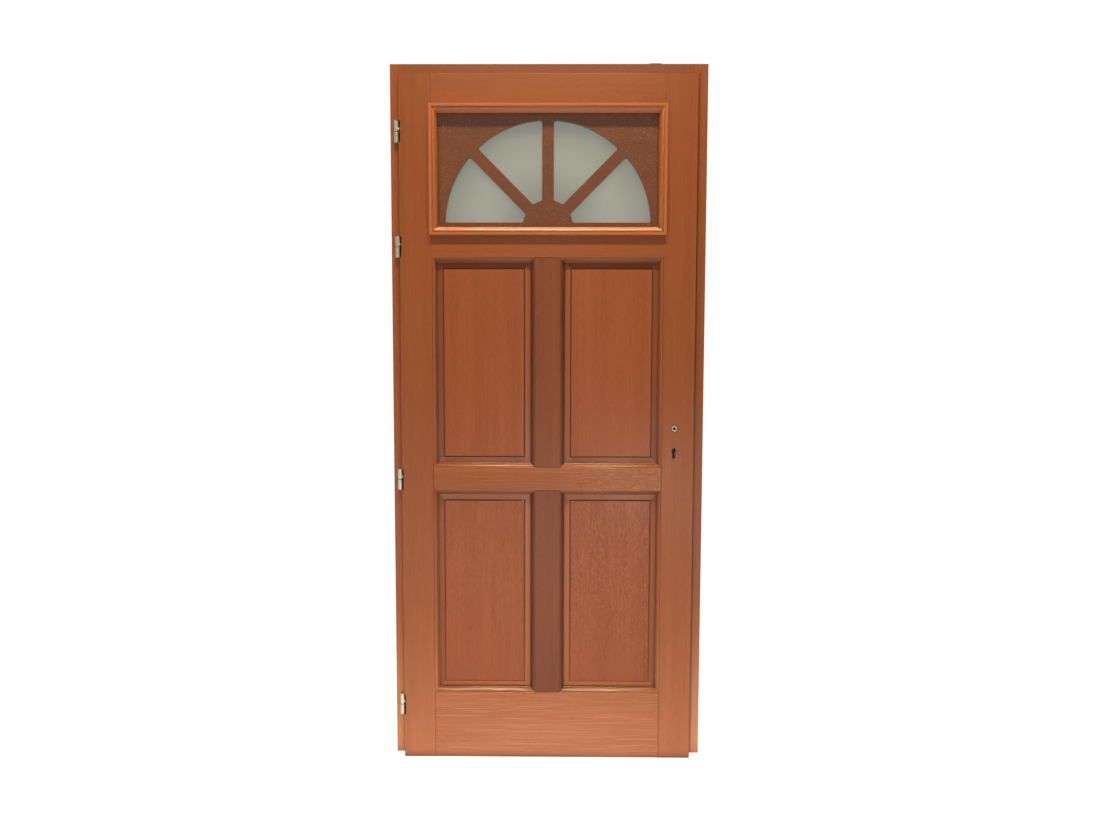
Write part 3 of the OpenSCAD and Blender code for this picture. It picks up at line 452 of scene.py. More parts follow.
def stained_wood(name, stain, seed, along="Z", streaks=0.5, flecks=0.25, fleck_tint=FLECK_TINT,
                 sheen_side=None, dashes=0.3, red=0.0, mottle=0.0, worn=0.0, bare=False,
                 margin=None, margin_tint=None, edge=0.3, edge_tint=ARRIS_WEAR_AND_HIGHLIGHT_TINT, dull_edge=0.0,
                 shine=0.12, foot=None):
    """Mahogany stain under satin varnish, with its grain along one axis of the piece."""
    wood = bpy.context.scene.door_wood
    material, nodes = finish(name)
    place = nodes.place()
    turn = (0, 0, 0) if along == "Z" else (0, -math.pi / 2, 0)
    grain = nodes.mapped(place, (0.37 * seed, 0.61 * (seed % 5), 0.83 * (seed % 7)), turn)
    wander = grain_noise(nodes, grain, "wander") - 0.5
    drift = nodes.add("ShaderNodeCombineXYZ", None, {0: wander * WANDER_X, 1: wander * WANDER_Y})
    grain = nodes.add("ShaderNodeVectorMath", {"operation": "ADD"}, {0: grain, 1: drift})

    ribbon, streak, dash = (grain_noise(nodes, grain, kind) for kind in ("ribbon", "streak", "dash"))
    pore = nodes.ease(grain_noise(nodes, grain, "pore"), 0.58, 0.72)
    fleck = nodes.ease(grain_noise(nodes, grain, "fleck"), 0.6, 0.72)
    low, beside = 0.0, 1.0
    if foot:
        low = nodes.ease(nodes.part(place, "Z"), *FOOT_SPAN)
        dashes, flecks = dashes * (1 - 0.7 * low), flecks * (1 - low)
    # Keeps the flecks and figure, painted glints and sheen here, to one side of the piece
    if sheen_side:
        beside = nodes.ease(nodes.part(place, "X"), *sheen_side)
        flecks = flecks * beside

    coats = [
        (nodes.ease(dash, 0.54, 0.72) * dashes, DASH_TINT),
        (nodes.ease(dash, 0.46, 0.28) * dashes, DASH_DARK),
        (pore * 0.45, PORE_DARK),
        (fleck * flecks, fleck_tint),
    ]
    if red:
        coats.insert(0, (nodes.ease(grain_noise(nodes, grain, "ray"), 0.48, 0.7) * red, RAY_TINT))
    if mottle:
        figure = grain_noise(nodes, grain, "figure", FIGURE_WAVE)
        patch = mottle * beside * (1 - 0.8 * low)
        coats.append((nodes.ease(figure, 0.52, 0.66) * patch, FIGURE_TINT))
        coats.append((nodes.ease(figure, 0.46, 0.34) * patch, FIGURE_DARK))
    lightness = nodes.ease(RIBBON_SHARE * ribbon + (1 - RIBBON_SHARE) * streak, 0.18, 0.82)
    spread = STREAK_SPREAD * streaks
    colour = nodes.mix(lightness, tinted(stain, 1 - spread), tinted(stain, 1 + spread))
    for share_of, tint in coats:
        colour = nodes.mix(share_of, colour, tinted(stain, tint))
    # Pale rubbed streaks, and pale streaks on the up-facing moulding: wear and painted sheen
    if worn:
        rubbed = nodes.ease(grain_noise(nodes, grain, "rubbed"), 0.5, 0.7)
        colour = nodes.mix(rubbed * worn, colour, wood.wear_and_sheen_tone)
        colour = nodes.mix(nodes.mark("worn") * nodes.ease(streak, 0.36, 0.6), colour, wood.wear_and_sheen_tone)
    if margin:
        speckle = nodes.mix(streak, tinted(margin, 0.86), tinted(margin, 1.14))
        speckle = nodes.mix(fleck * 0.3, speckle, tinted(margin, 1.7))
        # Painted light on margins facing the light, painted shade on the others, then painted shadow and
        # sheen on the top and bottom margins
        speckle = nodes.mix(nodes.mark("inner"), speckle, tinted(margin, LIT_MARGIN_TINT))
        speckle = nodes.mix(nodes.mark("outer"), speckle, tinted(margin, 0.78))
        for end, tint in margin_tint.items():
            speckle = nodes.mix(nodes.mark(end), speckle, tint, "MULTIPLY")
        colour = nodes.mix(nodes.mark("margin"), colour, speckle)
    # Painted light and shade towards the foot: lighter on the jambs and the hinge stile, darker on the lower
    # panels and muntin
    if foot:
        colour = nodes.mix(low, colour, nodes.mix(1.0, colour, foot, "MULTIPLY"))
    colour = nodes.mix(nodes.mark("end_grain") * 0.6, colour, tinted(stain, 0.5))
    # Lighter arrises, wear and painted highlight; the jambs take a darker tint here
    arris = nodes.mark("arris")
    colour = nodes.mix(arris * edge, colour, tinted(stain, edge_tint))
    # Unstained wood on the lit wall of the key hole, used as painted light
    if bare:
        colour = nodes.mix(nodes.mark("bare"), colour, wood.bare_tone)
    # The seam mark carries dark joints and painted shade; on the panels the painted shade fades towards the
    # foot
    seam = nodes.mark("seam") * (0.95 - 0.6 * low if margin else 0.95)
    colour = nodes.mix(seam, colour, tinted(stain, 0.2))

    nodes.surface({
        "Base Color": colour,
        "Roughness": 0.4 + 0.16 * (streak - 0.5) + 0.12 * pore,
        "Normal": nodes.relief(streak * 0.25 - pore, wood.pore_depth, 0.5),
        "Specular IOR Level": shine,
        "Coat Weight": wood.gloss * (1 - dull_edge * arris) if dull_edge else wood.gloss,
        "Coat Roughness": wood.gloss_roughness,
    })
    return material


def brushed_metal(name, colour, roughness, along="Z", wear=0.25, metallic=1.0, tooth=0.4, grime=False):
    """Plated metal with fine brush marks and a little tarnish."""
    material, nodes = finish(name)
    place = nodes.place()
    fine, coarse = (4000, 4000, 180), (160, 160, 60)
    if along == "X":
        fine = (180, 4000, 4000)
    marks = nodes.noise(nodes.mapped(place, scale=fine), detail=2)
    cloud = nodes.ease(nodes.noise(nodes.mapped(place, scale=coarse), detail=4, roughness=0.6), 0.42, 0.72)
    tarnished = nodes.mix(cloud * wear, colour, tinted(colour, 0.55))
    # Darkens the marked faces: dirt in the hinges' joints, painted shade in the follower's square hole
    darkening = nodes.mark("grime") if grime else 0.0
    tarnished = nodes.mix(darkening, tarnished, tinted(colour, 0.03))
    nodes.surface({
        "Base Color": tarnished,
        "Metallic": metallic,
        "Roughness": roughness + 0.12 * (marks - 0.5) + 0.16 * wear * cloud + 0.6 * darkening,
        "Normal": nodes.relief(marks, 0.00002, tooth),
    })
    return material


def blackened_steel(name, colour):
    """Dark, slightly scaled steel."""
    material, nodes = finish(name)
    grit = nodes.noise(nodes.mapped(nodes.place(), scale=(700, 700, 700)), detail=3)
    nodes.surface({
        "Base Color": nodes.mix(nodes.ease(grit, 0.4, 0.7), colour, tinted(colour, 2.2)),
        "Metallic": 0.6,
        "Roughness": 0.5 + 0.2 * (grit - 0.5),
        "Normal": nodes.relief(grit, 0.00004, 0.6),
    })
    return material


def moulded_rubber(name):
    """Dull dark rubber with a faint bloom."""
    material, nodes = finish(name)
    bloom = nodes.noise(nodes.mapped(nodes.place(), scale=(90, 90, 12)), detail=3)
    nodes.surface({
        "Base Color": nodes.mix(nodes.ease(bloom, 0.4, 0.75), (0.018, 0.015, 0.013), (0.04, 0.034, 0.03)),
        "Roughness": 0.62 + 0.2 * (bloom - 0.5),
    })
    return material


def satin_glass(name):
    """Obscured glass that shows as a soft grey-green sheet with a fine etched tooth, and a painted band of
    light round the fan's centre that darkens towards the hub and the rim.
    """
    material, nodes = finish(name)
    glass = bpy.context.scene.door_glass
    colour = glass.satin_tone
    place = nodes.place()
    cloud = nodes.noise(nodes.mapped(place, scale=(6, 6, 9)), detail=2)
    low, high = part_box("back_glass")
    centre = Vector(((low.x + high.x) / 2, high.y, low.z + bpy.context.scene.door_fan.centre_rise))
    away = nodes.add("ShaderNodeVectorMath", {"operation": "DISTANCE"}, {0: place, 1: centre}, out="Value")
    # Painted light behind the pane, lightest in a band round the fan's centre
    core = nodes.ease(abs(away - glass.painted_light_reach), glass.painted_light_width, 0.0)
    tooth = nodes.noise(nodes.mapped(place, scale=(900, 900, 900)), detail=2)
    nodes.surface({
        "Base Color": nodes.mix(0.75 * core + 0.25 * cloud, tinted(colour, 0.84), tinted(colour, 1.17)),
        "Roughness": 0.55 + 0.14 * (tooth - 0.5),
        "Normal": nodes.relief(tooth, 0.00004, 0.5),
        "IOR": 1.45,
        "Transmission Weight": glass.satin_share,
    })
    return material


def clear_glass(name):
    """A clear pane: mostly open, with a mirror that grows at low angles."""
    material, nodes = finish(name)
    glass = bpy.context.scene.door_glass
    rim = nodes.add("ShaderNodeLayerWeight", None, {"Blend": 0.2}, out="Fresnel")
    smear = nodes.noise(nodes.mapped(nodes.place(), scale=(14, 14, 9)), detail=3)
    nodes.surface({
        "Base Color": opaque(glass.clear_tone),
        "Metallic": 1.0,
        "Roughness": 0.03 + 0.05 * smear,
        "Alpha": glass.pane_mirror + 0.25 * rim,
    })
    return material


# Shapes taken from the CAD nodes

def node_shape(node):
    """A bmesh of a CAD node with its triangles joined into flat faces."""
    bm = bmesh.new()
    bm.from_mesh(frame["nodes"][node].data)
    bmesh.ops.remove_doubles(bm, verts=bm.verts, dist=MERGE_DISTANCE)
    bmesh.ops.dissolve_limit(bm, angle_limit=FLAT_ANGLE, use_dissolve_boundaries=False,
                             verts=bm.verts, edges=bm.edges)
    bm.normal_update()
    return bm


def box_planes(node, axes):
    """Planes of a node's box, named as in 'x-' or 'y+', each as (axis number, place)."""
    low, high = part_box(node)
    planes = []
    for letter, side in axes:
        axis = "xyz".index(letter)
        planes.append((axis, (high if side == "+" else low)[axis]))
    return planes


def on_plane(part, planes):
    """True where all corners of an edge or a face lie on one of the planes."""
    return any(all(abs(vert.co[axis] - place) < PLANE_SLACK for vert in part.verts)
               for axis, place in planes)


def sharp_ridge(edge):
    """True for an outward edge between faces that meet at a clear angle."""
    return len(edge.link_faces) == 2 and edge.is_convex and edge.calc_face_angle(0) > ARRIS_ANGLE


def mark_faces(bm, name, value_of):
    """Keeps a number for each face, under a name that a material reads."""
    layer = bm.faces.layers.float.new(name)
    for face in bm.faces:
        face[layer] = value_of(face)


def round_arrises(bm, edges, radius, steps):
    """Rounds edges and marks the new faces."""
    layer = bm.faces.layers.float.new("arris")
    made = bmesh.ops.bevel(bm, geom=edges, offset=radius, offset_type="OFFSET", affect="EDGES",
                           segments=steps, profile=0.5, material=-1, clamp_overlap=True, loop_slide=False)
    for face in made["faces"]:
        face[layer] = 1.0


def slice_at(bm, axis, place, faces=None):
    """Cuts the faces given, or else all of them, with a plane square to an axis."""
    if faces is None:
        cut = bm.verts[:] + bm.edges[:] + bm.faces[:]
    else:
        edges = dict.fromkeys(edge for face in faces for edge in face.edges)
        verts = dict.fromkeys(vert for face in faces for vert in face.verts)
        cut = [*verts, *edges, *faces]
    normal = Vector([float(number == axis) for number in range(3)])
    bmesh.ops.bisect_plane(bm, geom=cut, dist=MERGE_DISTANCE, plane_co=normal * place, plane_no=normal)


def ridges_on(bm, planes):
    """The outward edges that lie on one of the planes."""
    return [edge for edge in bm.edges if sharp_ridge(edge) and on_plane(edge, planes)]


def runs_along(edge, axis):
    """True where an edge is parallel to an axis."""
    side = edge.verts[1].co - edge.verts[0].co
    return abs(side["XYZ".index(axis)]) > SQUARE_ON * side.length


def depth_of(face, box):
    """Depth of a face's middle under the nearer face of its member."""
    low, high = box
    level = face.calc_center_median().y
    return min(level - low.y, high.y - level)


def mark_moulding_shade(bm, node):
    """Marks painted shade on the moulded edges: in their narrow flats, all along the muntins' moulded edges,
    and on the rails' mouldings that look down.
    """
    wood, box = bpy.context.scene.door_wood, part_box(node)

    def darkness(face):
        sunk = depth_of(face, box)
        if not PLANE_SLACK < sunk < MOULDING_DEPTH:
            return 0.0
        if abs(face.normal.y) > SQUARE_ON:
            return wood.step_painted_shade if sunk < STEP_DEPTH else wood.fillet_painted_shade
        if node in MUNTINS:
            return wood.fillet_painted_shade
        return UNDER_PAINTED_SHADE.get(node, 0.0) if face.normal.z < -LOOKS_UP else 0.0

    mark_faces(bm, "seam", darkness)


def mark_panel(bm, node):
    """Marks a panel's sloping margins with painted light where they face up or towards the door's centre and
    painted shade elsewhere, marks the top and bottom margins for painted shadow and sheen, and marks painted
    shade in the quirk round the raised field.
    """
    low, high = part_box(node)
    inward = -1 if "right" in node else 1
    names = ("margin", "seam", "inner", "outer", "head", "foot")
    margin, seam, inner, outer, head, foot = (bm.faces.layers.float.new(name) for name in names)
    for face in bm.faces:
        depth, normal = face.calc_center_median().y, face.normal
        lit = normal.x * inward > SLOPES or normal.z > SLOPES
        # Painted light where a margin faces up or towards the door's centre, painted shade where it faces
        # away
        face[inner if lit else outer] = min(1.0, max(abs(normal.x), normal.z) * MARGIN_GAIN)
        face[margin] = float(low.y + PLANE_SLACK < depth < high.y - PLANE_SLACK)
        face[seam] = float(face[margin] and abs(normal.y) > FLAT_ON)
        face[head], face[foot] = float(normal.z > LEANS), float(normal.z < -LEANS)


def mark_lock_holes(bm):
    """Marks the walls of the two lock holes with painted shade, and gives the key hole's wall that faces the
    light the colour of unstained wood, the wood's own colour used there as painted light.
    """
    low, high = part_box("lock_follower")
    centre = (low + high) / 2
    bare, seam = bm.faces.layers.float.new("bare"), bm.faces.layers.float.get("seam")
    for face in bm.faces:
        place = face.calc_center_median() - centre
        near = abs(place.x) < HOLE_REACH and -HOLE_DROP < place.z < HOLE_REACH
        if near and abs(face.normal.y) < EDGE_ON and place.y < 0:
            lit = face.normal.x < -LIT_SIDE and place.z < -HOLE_REACH
            face[bare if lit else seam] = 1.0


def mark_worn_and_lit_edge(bm, node):
    """Marks the moulding that looks up, where the varnish is rubbed and a painted highlight falls."""
    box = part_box(node)
    mark_faces(bm, "worn", lambda face: float(PLANE_SLACK < depth_of(face, box) < MOULDING_DEPTH
                                              and face.normal.z > LOOKS_UP))


def mark_dirt_and_bore_shade(bm, node):
    """Marks the joint between two half barrels, where dirt darkens it, or the walls of the follower's square
    hole with painted shade.
    """
    low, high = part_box(node.replace("frame_hinge", "leaf_hinge"))
    centre = (low + high) / 2

    def darkening(face):
        place = face.calc_center_median()
        if node == "lock_follower":
            away = max(abs(place.x - centre.x), abs(place.z - centre.z))
            return float(away < BORE_REACH and abs(face.normal.y) < EDGE_ON)
        return float(abs(place.z - low.z) < JOINT_REACH)

    mark_faces(bm, "grime", darkening)


def mark_rim_shade(bm, planes, radius):
    """Marks the rounded arris round the leaf with painted shade, the shadow line where the leaf meets the
    frame.
    """
    arris, seam = (bm.faces.layers.float.get(name) for name in ("arris", "seam"))
    for face in bm.faces:
        place = face.calc_center_median()
        if face[arris] and any(abs(place[axis] - level) < radius for axis, level in planes):
            face[seam] = bpy.context.scene.door_wood.rim_painted_shade


def mark_joint_shadow(bm, node):
    """Marks a strip of the frame's face along the leaf with painted shadow, where the leaf's lip shades the
    frame.
    """
    wood = bpy.context.scene.door_wood
    axis, member, side, reach = LEAF_SHADOW_STRIP[node]
    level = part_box(member)[max(side, 0)][axis]
    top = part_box("top_rail")[1].z + LEAF_SHADOW_STRIP["head_jamb"][3]
    front = box_planes(node, ("y-",))
    for way, place in ((axis, level + side * reach), (axis, level - side * wood.arris), (2, top)):
        slice_at(bm, way, place)

    def darkness(face):
        middle = face.calc_center_median()
        beside = -wood.arris < (middle[axis] - level) * side < reach and middle.z < top
        return wood.joint_painted_shadow if beside and on_plane(face, front) else 0.0

    mark_faces(bm, "seam", darkness)


def mark_end_grain(bm, along):
    """Marks the faces that cut across the grain."""
    axis = "XYZ".index(along)
    mark_faces(bm, "end_grain", lambda face: float(abs(face.normal[axis]) > END_ON))


def cut_seams(bm, along, planes):
    """Cuts a shallow dark groove where a member's shoulders meet its neighbours."""
    wood = bpy.context.scene.door_wood
    layer = bm.faces.layers.float.get("seam")
    across = 0 if along == "Z" else 2
    joints = [edge for edge in ridges_on(bm, planes) if runs_along(edge, along)]
    places = [edge.verts[0].co[across] for edge in joints]
    middle = (min(places) + max(places)) / 2
    for place in (min(places), max(places)):
        slice_at(bm, across, place + math.copysign(wood.seam, middle - place))
    faces = [(axis, level) for axis, level in planes if axis == 1]
    groove = max(places) - middle - wood.seam
    for face in bm.faces:
        at_joint = abs(face.calc_center_median()[across] - middle) > groove
        if at_joint and abs(face.normal.y) > SQUARE_ON and on_plane(face, faces):
            face[layer] = 1.0
    core = sum(level for axis, level in faces) / len(faces)
    for vert in bm.verts:
        at_end = abs(abs(vert.co[across] - middle) - max(places) + middle) < PLANE_SLACK
        if at_end and any(abs(vert.co.y - level) < PLANE_SLACK for axis, level in faces):
            sink = math.copysign(wood.seam_depth, core - vert.co.y)
            bmesh.ops.translate(bm, vec=(0, sink, 0), verts=[vert])


def cut_notches(bm):
    """Cuts a notch in the edge of the hinge stile beside each barrel, with painted shade on its walls."""
    metal = bpy.context.scene.door_metal
    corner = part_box("hinge_stile")[0]
    side, front = (0, corner.x), (1, corner.y)
    wall, back = corner.x + metal.notch_width, corner.y + metal.notch_depth
    layer = bm.faces.layers.float.get("seam")

    def strip():
        middles = {face: face.calc_center_median() for face in bm.faces if on_plane(face, [side, front])}
        return {face: middle for face, middle in middles.items() if middle.x < wall and middle.y < back}

    slice_at(bm, 0, wall, [face for face in bm.faces if on_plane(face, [front])])
    slice_at(bm, 1, back, [face for face in bm.faces if on_plane(face, [side])])
    for letter in HINGES:
        foot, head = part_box("frame_hinge_" + letter)[0].z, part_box("leaf_hinge_" + letter)[1].z
        for level in (foot, head):
            slice_at(bm, 2, level, list(strip()))
        chosen = [face for face, middle in strip().items() if foot < middle.z < head]
        parted = bmesh.ops.split(bm, geom=chosen, use_only_faces=True)["geom"]
        walls = [part for part in parted if isinstance(part, bmesh.types.BMFace)]
        ridge = [part for part in parted if isinstance(part, bmesh.types.BMVert)
                 and all(abs(part.co[axis] - place) < PLANE_SLACK for axis, place in (side, front))]
        bmesh.ops.translate(bm, vec=(metal.notch_width, metal.notch_depth, 0), verts=ridge)
        bmesh.ops.remove_doubles(bm, verts=bm.verts, dist=MERGE_DISTANCE)
        rims = [edge for edge in bm.edges if edge.is_boundary]
        # Painted shade on the notch's walls and ends
        for face in walls + bmesh.ops.holes_fill(bm, edges=rims, sides=4)["faces"]:
            face[layer] = 1.0
    bmesh.ops.recalc_face_normals(bm, faces=bm.faces)


def add_piece(node, kind, bm, material):
    """Turns a bmesh into the finished piece that stands for a CAD node and rides on its body."""
    name = f"{node}_{kind}"
    bmesh.ops.dissolve_degenerate(bm, dist=MERGE_DISTANCE, edges=bm.edges)
    mesh = bpy.data.meshes.new(name)
    bm.to_mesh(mesh)
    bm.free()
    mesh.materials.append(material)
    mesh.shade_smooth()
    mesh.set_sharp_from_angle(angle=SHARP_ANGLE)
    piece = bpy.data.objects.new(name, mesh)
    bpy.context.scene.collection.objects.link(piece)
    piece.modifiers.new("Even shading", "WEIGHTED_NORMAL").keep_sharp = True
    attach(piece, BODY_OF[node])
    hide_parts(node)


def dress_wood(node, stain, seed, along, planes, radius, seams=None, shape=None, **grain):
    """A wood member with rounded arrises, dark seams at its joints and its own cut of grain."""
    bm = node_shape(node) if shape is None else shape
    mark_end_grain(bm, along)
    if SLOT_OF[node] in ("leaf_wood", "muntin_wood"):
        mark_moulding_shade(bm, node)
    if node in LEAF_SHADOW_STRIP:
        mark_joint_shadow(bm, node)
    if node in PANELS:
        mark_panel(bm, node)
    if node == "lock_stile":
        mark_lock_holes(bm)
    if node == "hinge_stile":
        cut_notches(bm)
    if node == "bottom_rail":
        mark_worn_and_lit_edge(bm, node)
    if seams:
        cut_seams(bm, seams, planes)
    round_arrises(bm, ridges_on(bm, planes), radius, bpy.context.scene.door_wood.arris_steps)
    if node in LEAF_RIM:
        mark_rim_shade(bm, box_planes(node, LEAF_RIM[node]), radius)
    look = {"foot": FOOT_PAINTED_LIGHT_TINT.get(node), **grain, **MEMBER_GRAIN.get(node, {})}
    material = stained_wood(node + "_stain", tinted(stain, CUT_TONE.get(node, 1.0)), seed, along, **look)
    add_piece(node, "wood", bm, material)


def dress_metal(node, material, radius, grime=False):
    """A metal part with every outer edge eased."""
    bm = node_shape(node)
    if grime:
        mark_dirt_and_bore_shade(bm, node)
    round_arrises(bm, [edge for edge in bm.edges if sharp_ridge(edge)], radius, EDGE_STEPS)
    add_piece(node, "metal", bm, material)


def paint(node, material):
    """Gives a CAD node that keeps its own shape its finish."""
    mesh = frame["nodes"][node].data
    mesh.materials.clear()
    mesh.materials.append(material)


# Operators, one for each group of like pieces

class FRONTDOOR_OT_frame_wood(Operator):
    """Make the jambs and the head of the frame"""
    bl_idname = "front_door.frame_wood"
    bl_label = "Frame wood"

    def execute(self, context):
        wood = context.scene.door_wood
        for number, node in enumerate(JAMBS):
            planes = box_planes(node, ALL_SIDES)
            dress_wood(node, wood.jamb_tone, SEEDS["jamb"] + number, "Z", planes, wood.arris,
                       dashes=0.15, edge=0.85, edge_tint=JAMB_EDGE_TINT, dull_edge=0.9)
        planes = box_planes("head_jamb", (*FACES, "z+", "z-"))
        dress_wood("head_jamb", wood.head_tone, SEEDS["head"], "X", planes, wood.arris)
        return {"FINISHED"}


class FRONTDOOR_OT_leaf_members(Operator):
    """Make the stiles, rails and muntins of the leaf"""
    bl_idname = "front_door.leaf_members"
    bl_label = "Stiles, rails and muntins"

    def execute(self, context):
        wood = context.scene.door_wood
        for number, node in enumerate(STILES):
            outer = "x-" if node == "hinge_stile" else "x+"
            planes = box_planes(node, (*FACES, outer, "z-", "z+"))
            dress_wood(node, wood.stile_tone, SEEDS["stile"] + number, "Z", planes, wood.arris,
                       dashes=0.15, flecks=0.15)
        for number, node in enumerate(RAILS):
            ends = {"top_rail": ("z+",), "bottom_rail": ("z-",)}.get(node, ())
            planes = box_planes(node, FACES + ends)
            dress_wood(node, wood.rail_tone, SEEDS["rail"] + number, "X", planes, wood.arris,
                       seams="Z" if node in SEAMED_RAILS else None, dashes=0.2, flecks=0.2)
        for number, node in enumerate(MUNTINS):
            planes = box_planes(node, FACES)
            dress_wood(node, wood.muntin_tone, SEEDS["muntin"] + number, "Z", planes, wood.arris,
                       seams="X", dashes=0.2)
        return {"FINISHED"}


class FRONTDOOR_OT_panels(Operator):
    """Make the four raised and fielded panels"""
    bl_idname = "front_door.panels"
    bl_label = "Raised panels"

    def execute(self, context):
        wood = context.scene.door_wood
        for number, node in enumerate(PANELS):
            row = node.split("_")[0]
            seed, planes = SEEDS["panel"] + 3 * number, box_planes(node, FACES)
            dress_wood(node, wood.panel_tone, seed, "Z", planes, wood.fine_arris,
                       flecks=0.3, margin=tinted(wood.margin_tone, MARGIN_SHARE[row]),
                       margin_tint=MARGIN_PAINTED_LIGHT[row], **PANEL_GRAIN[row])
        return {"FINISHED"}


class FRONTDOOR_OT_sunburst(Operator):
    """Make the board with the sunburst cut-outs"""
    bl_idname = "front_door.sunburst"
    bl_label = "Sunburst board"

    def execute(self, context):
        wood, self.fan = context.scene.door_wood, context.scene.door_fan
        node = "sunburst_board"
        low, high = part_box(node)
        bm = bmesh.new()
        bmesh.ops.create_grid(bm, x_segments=1, y_segments=1, size=0.5,
                              matrix=Matrix.Rotation(math.pi / 2, 4, "X"))
        bmesh.ops.scale(bm, vec=(high.x - low.x, 1, high.z - low.z), verts=bm.verts)
        bmesh.ops.translate(bm, vec=((low.x + high.x) / 2, low.y, (low.z + high.z) / 2), verts=bm.verts)
        bmesh.ops.delete(bm, geom=bm.faces[:], context="FACES_ONLY")
        self.centre = Vector(((low.x + high.x) / 2, low.y, low.z + self.fan.centre_rise))
        half, turn = self.fan.spoke / 2, math.radians(45)
        sink = (self.fan.spokes_rise - self.fan.centre_rise) * math.cos(turn)
        base = self.fan.base_rise - self.fan.centre_rise
        for side in (1, -1):
            self.cut_out(bm, side, math.radians(90), -half, turn, half + sink)
            self.cut_out(bm, side, turn, sink - half, 0, base)
        bmesh.ops.triangle_fill(bm, use_beauty=True, edges=bm.edges[:], normal=(0, -1, 0))
        grown = bmesh.ops.extrude_face_region(bm, geom=bm.faces[:])["geom"]
        bmesh.ops.translate(bm, vec=(0, high.y - low.y, 0),
                            verts=[part for part in grown if isinstance(part, bmesh.types.BMVert)])
        bmesh.ops.recalc_face_normals(bm, faces=bm.faces)
        bmesh.ops.dissolve_limit(bm, angle_limit=FLAT_ANGLE, use_dissolve_boundaries=False,
                                 verts=bm.verts, edges=bm.edges)
        planes = box_planes(node, FACES)
        # Painted glints in the board's bright flecks, and a painted highlight on its light arrises
        dress_wood(node, wood.board_tone, SEEDS["board"], "X", planes, self.fan.lip, shape=bm,
                   streaks=0.4, flecks=1.0, fleck_tint=BOARD_GLINT_TINT, dashes=0.2, edge=0.8)
        return {"FINISHED"}

    def cut_out(self, bm, side, upper, upper_set, lower, lower_set):
        """Draws one closed cut-out between two edges, each given by its angle and its offset."""
        fan = self.fan

        def corner(angle, offset, reach):
            along = math.sqrt(reach * reach - offset * offset)
            return Vector((along * math.cos(angle) - offset * math.sin(angle), 0,
                           along * math.sin(angle) + offset * math.cos(angle)))

        rim, hub = fan.rim - fan.corner, fan.hub + fan.corner
        upper_off, lower_off = upper_set - fan.corner, lower_set + fan.corner
        outer_low, outer_high = corner(lower, lower_off, rim), corner(upper, upper_off, rim)
        inner_low, inner_high = corner(lower, lower_off, hub), corner(upper, upper_off, hub)
        middle, quarter = Vector(), math.pi / 2
        over, under = (fan.corner * Vector((-math.sin(turn), 0, math.cos(turn))) for turn in (upper, lower))

        def place(point):
            return self.centre + Vector((side * point.x, 0, point.z))

        def line(vert, end):
            tip = bmesh.ops.extrude_vert_indiv(bm, verts=[vert])["verts"][0]
            tip.co = place(end)
            return tip

        def arc(vert, about, angle, steps):
            swept = bmesh.ops.spin(bm, geom=[vert], cent=place(about), axis=(0, -side, 0),
                                   angle=angle, steps=steps)
            return next(part for part in swept["geom_last"] if isinstance(part, bmesh.types.BMVert))

        def bearing(point):
            return math.atan2(point.z, point.x)

        start = bmesh.ops.create_vert(bm, co=place(inner_low - under))["vert"][0]
        tip = line(start, outer_low - under)
        tip = arc(tip, outer_low, bearing(outer_low) - lower + quarter, fan.corner_steps)
        tip = arc(tip, middle, bearing(outer_high) - bearing(outer_low), fan.arc_steps)
        tip = arc(tip, outer_high, upper + quarter - bearing(outer_high), fan.corner_steps)
        tip = line(tip, inner_high + over)
        tip = arc(tip, inner_high, bearing(inner_high) - upper + quarter, fan.corner_steps)
        tip = arc(tip, middle, bearing(inner_low) - bearing(inner_high), fan.corner_steps)
        tip = arc(tip, inner_low, lower - bearing(inner_low) + quarter, fan.corner_steps)
        bmesh.ops.weld_verts(bm, targetmap={tip: start})


class FRONTDOOR_OT_window(Operator):
    """Make the two panes and the beads that hold them"""
    bl_idname = "front_door.window"
    bl_label = "Panes and beads"

    def execute(self, context):
        wood = context.scene.door_wood
        for face in ("front", "back"):
            for number, side in enumerate(BEAD_SIDES):
                node = f"{face}_bead_{side}"
                along, planes = "X" if side in ("top", "foot") else "Z", box_planes(node, FACES)
                dress_wood(node, wood.bead_tone, SEEDS[face] + number, along, planes, wood.fine_arris,
                           streaks=0.35, flecks=0.1, shine=0.8)
        panes = (("front_glass", clear_glass("clear_pane")), ("back_glass", satin_glass("satin_pane")))
        for node, material in panes:
            bm = node_shape(node)
            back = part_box(node)[1].y
            far_side = [vert for vert in bm.verts if abs(vert.co.y - back) < PLANE_SLACK]
            bmesh.ops.translate(bm, vec=(0, -PANE_RELIEF, 0), verts=far_side)
            round_arrises(bm, [edge for edge in bm.edges if sharp_ridge(edge)], wood.fine_arris, EDGE_STEPS)
            add_piece(node, "pane", bm, material)
        return {"FINISHED"}


class FRONTDOOR_OT_hinges(Operator):
    """Make the four pairs of half barrels with their pins and stems"""
    bl_idname = "front_door.hinges"
    bl_label = "Barrel hinges"

    def execute(self, context):
        metal = context.scene.door_metal
        material = brushed_metal("hinge_nickel", tuple(metal.nickel_tone), metal.nickel_roughness,
                                 wear=0.06, metallic=0.55, tooth=0.1, grime=True)
        for letter in HINGES:
            for half in ("frame_hinge_", "leaf_hinge_"):
                dress_metal(half + letter, material, metal.barrel_arris, grime=True)
        return {"FINISHED"}


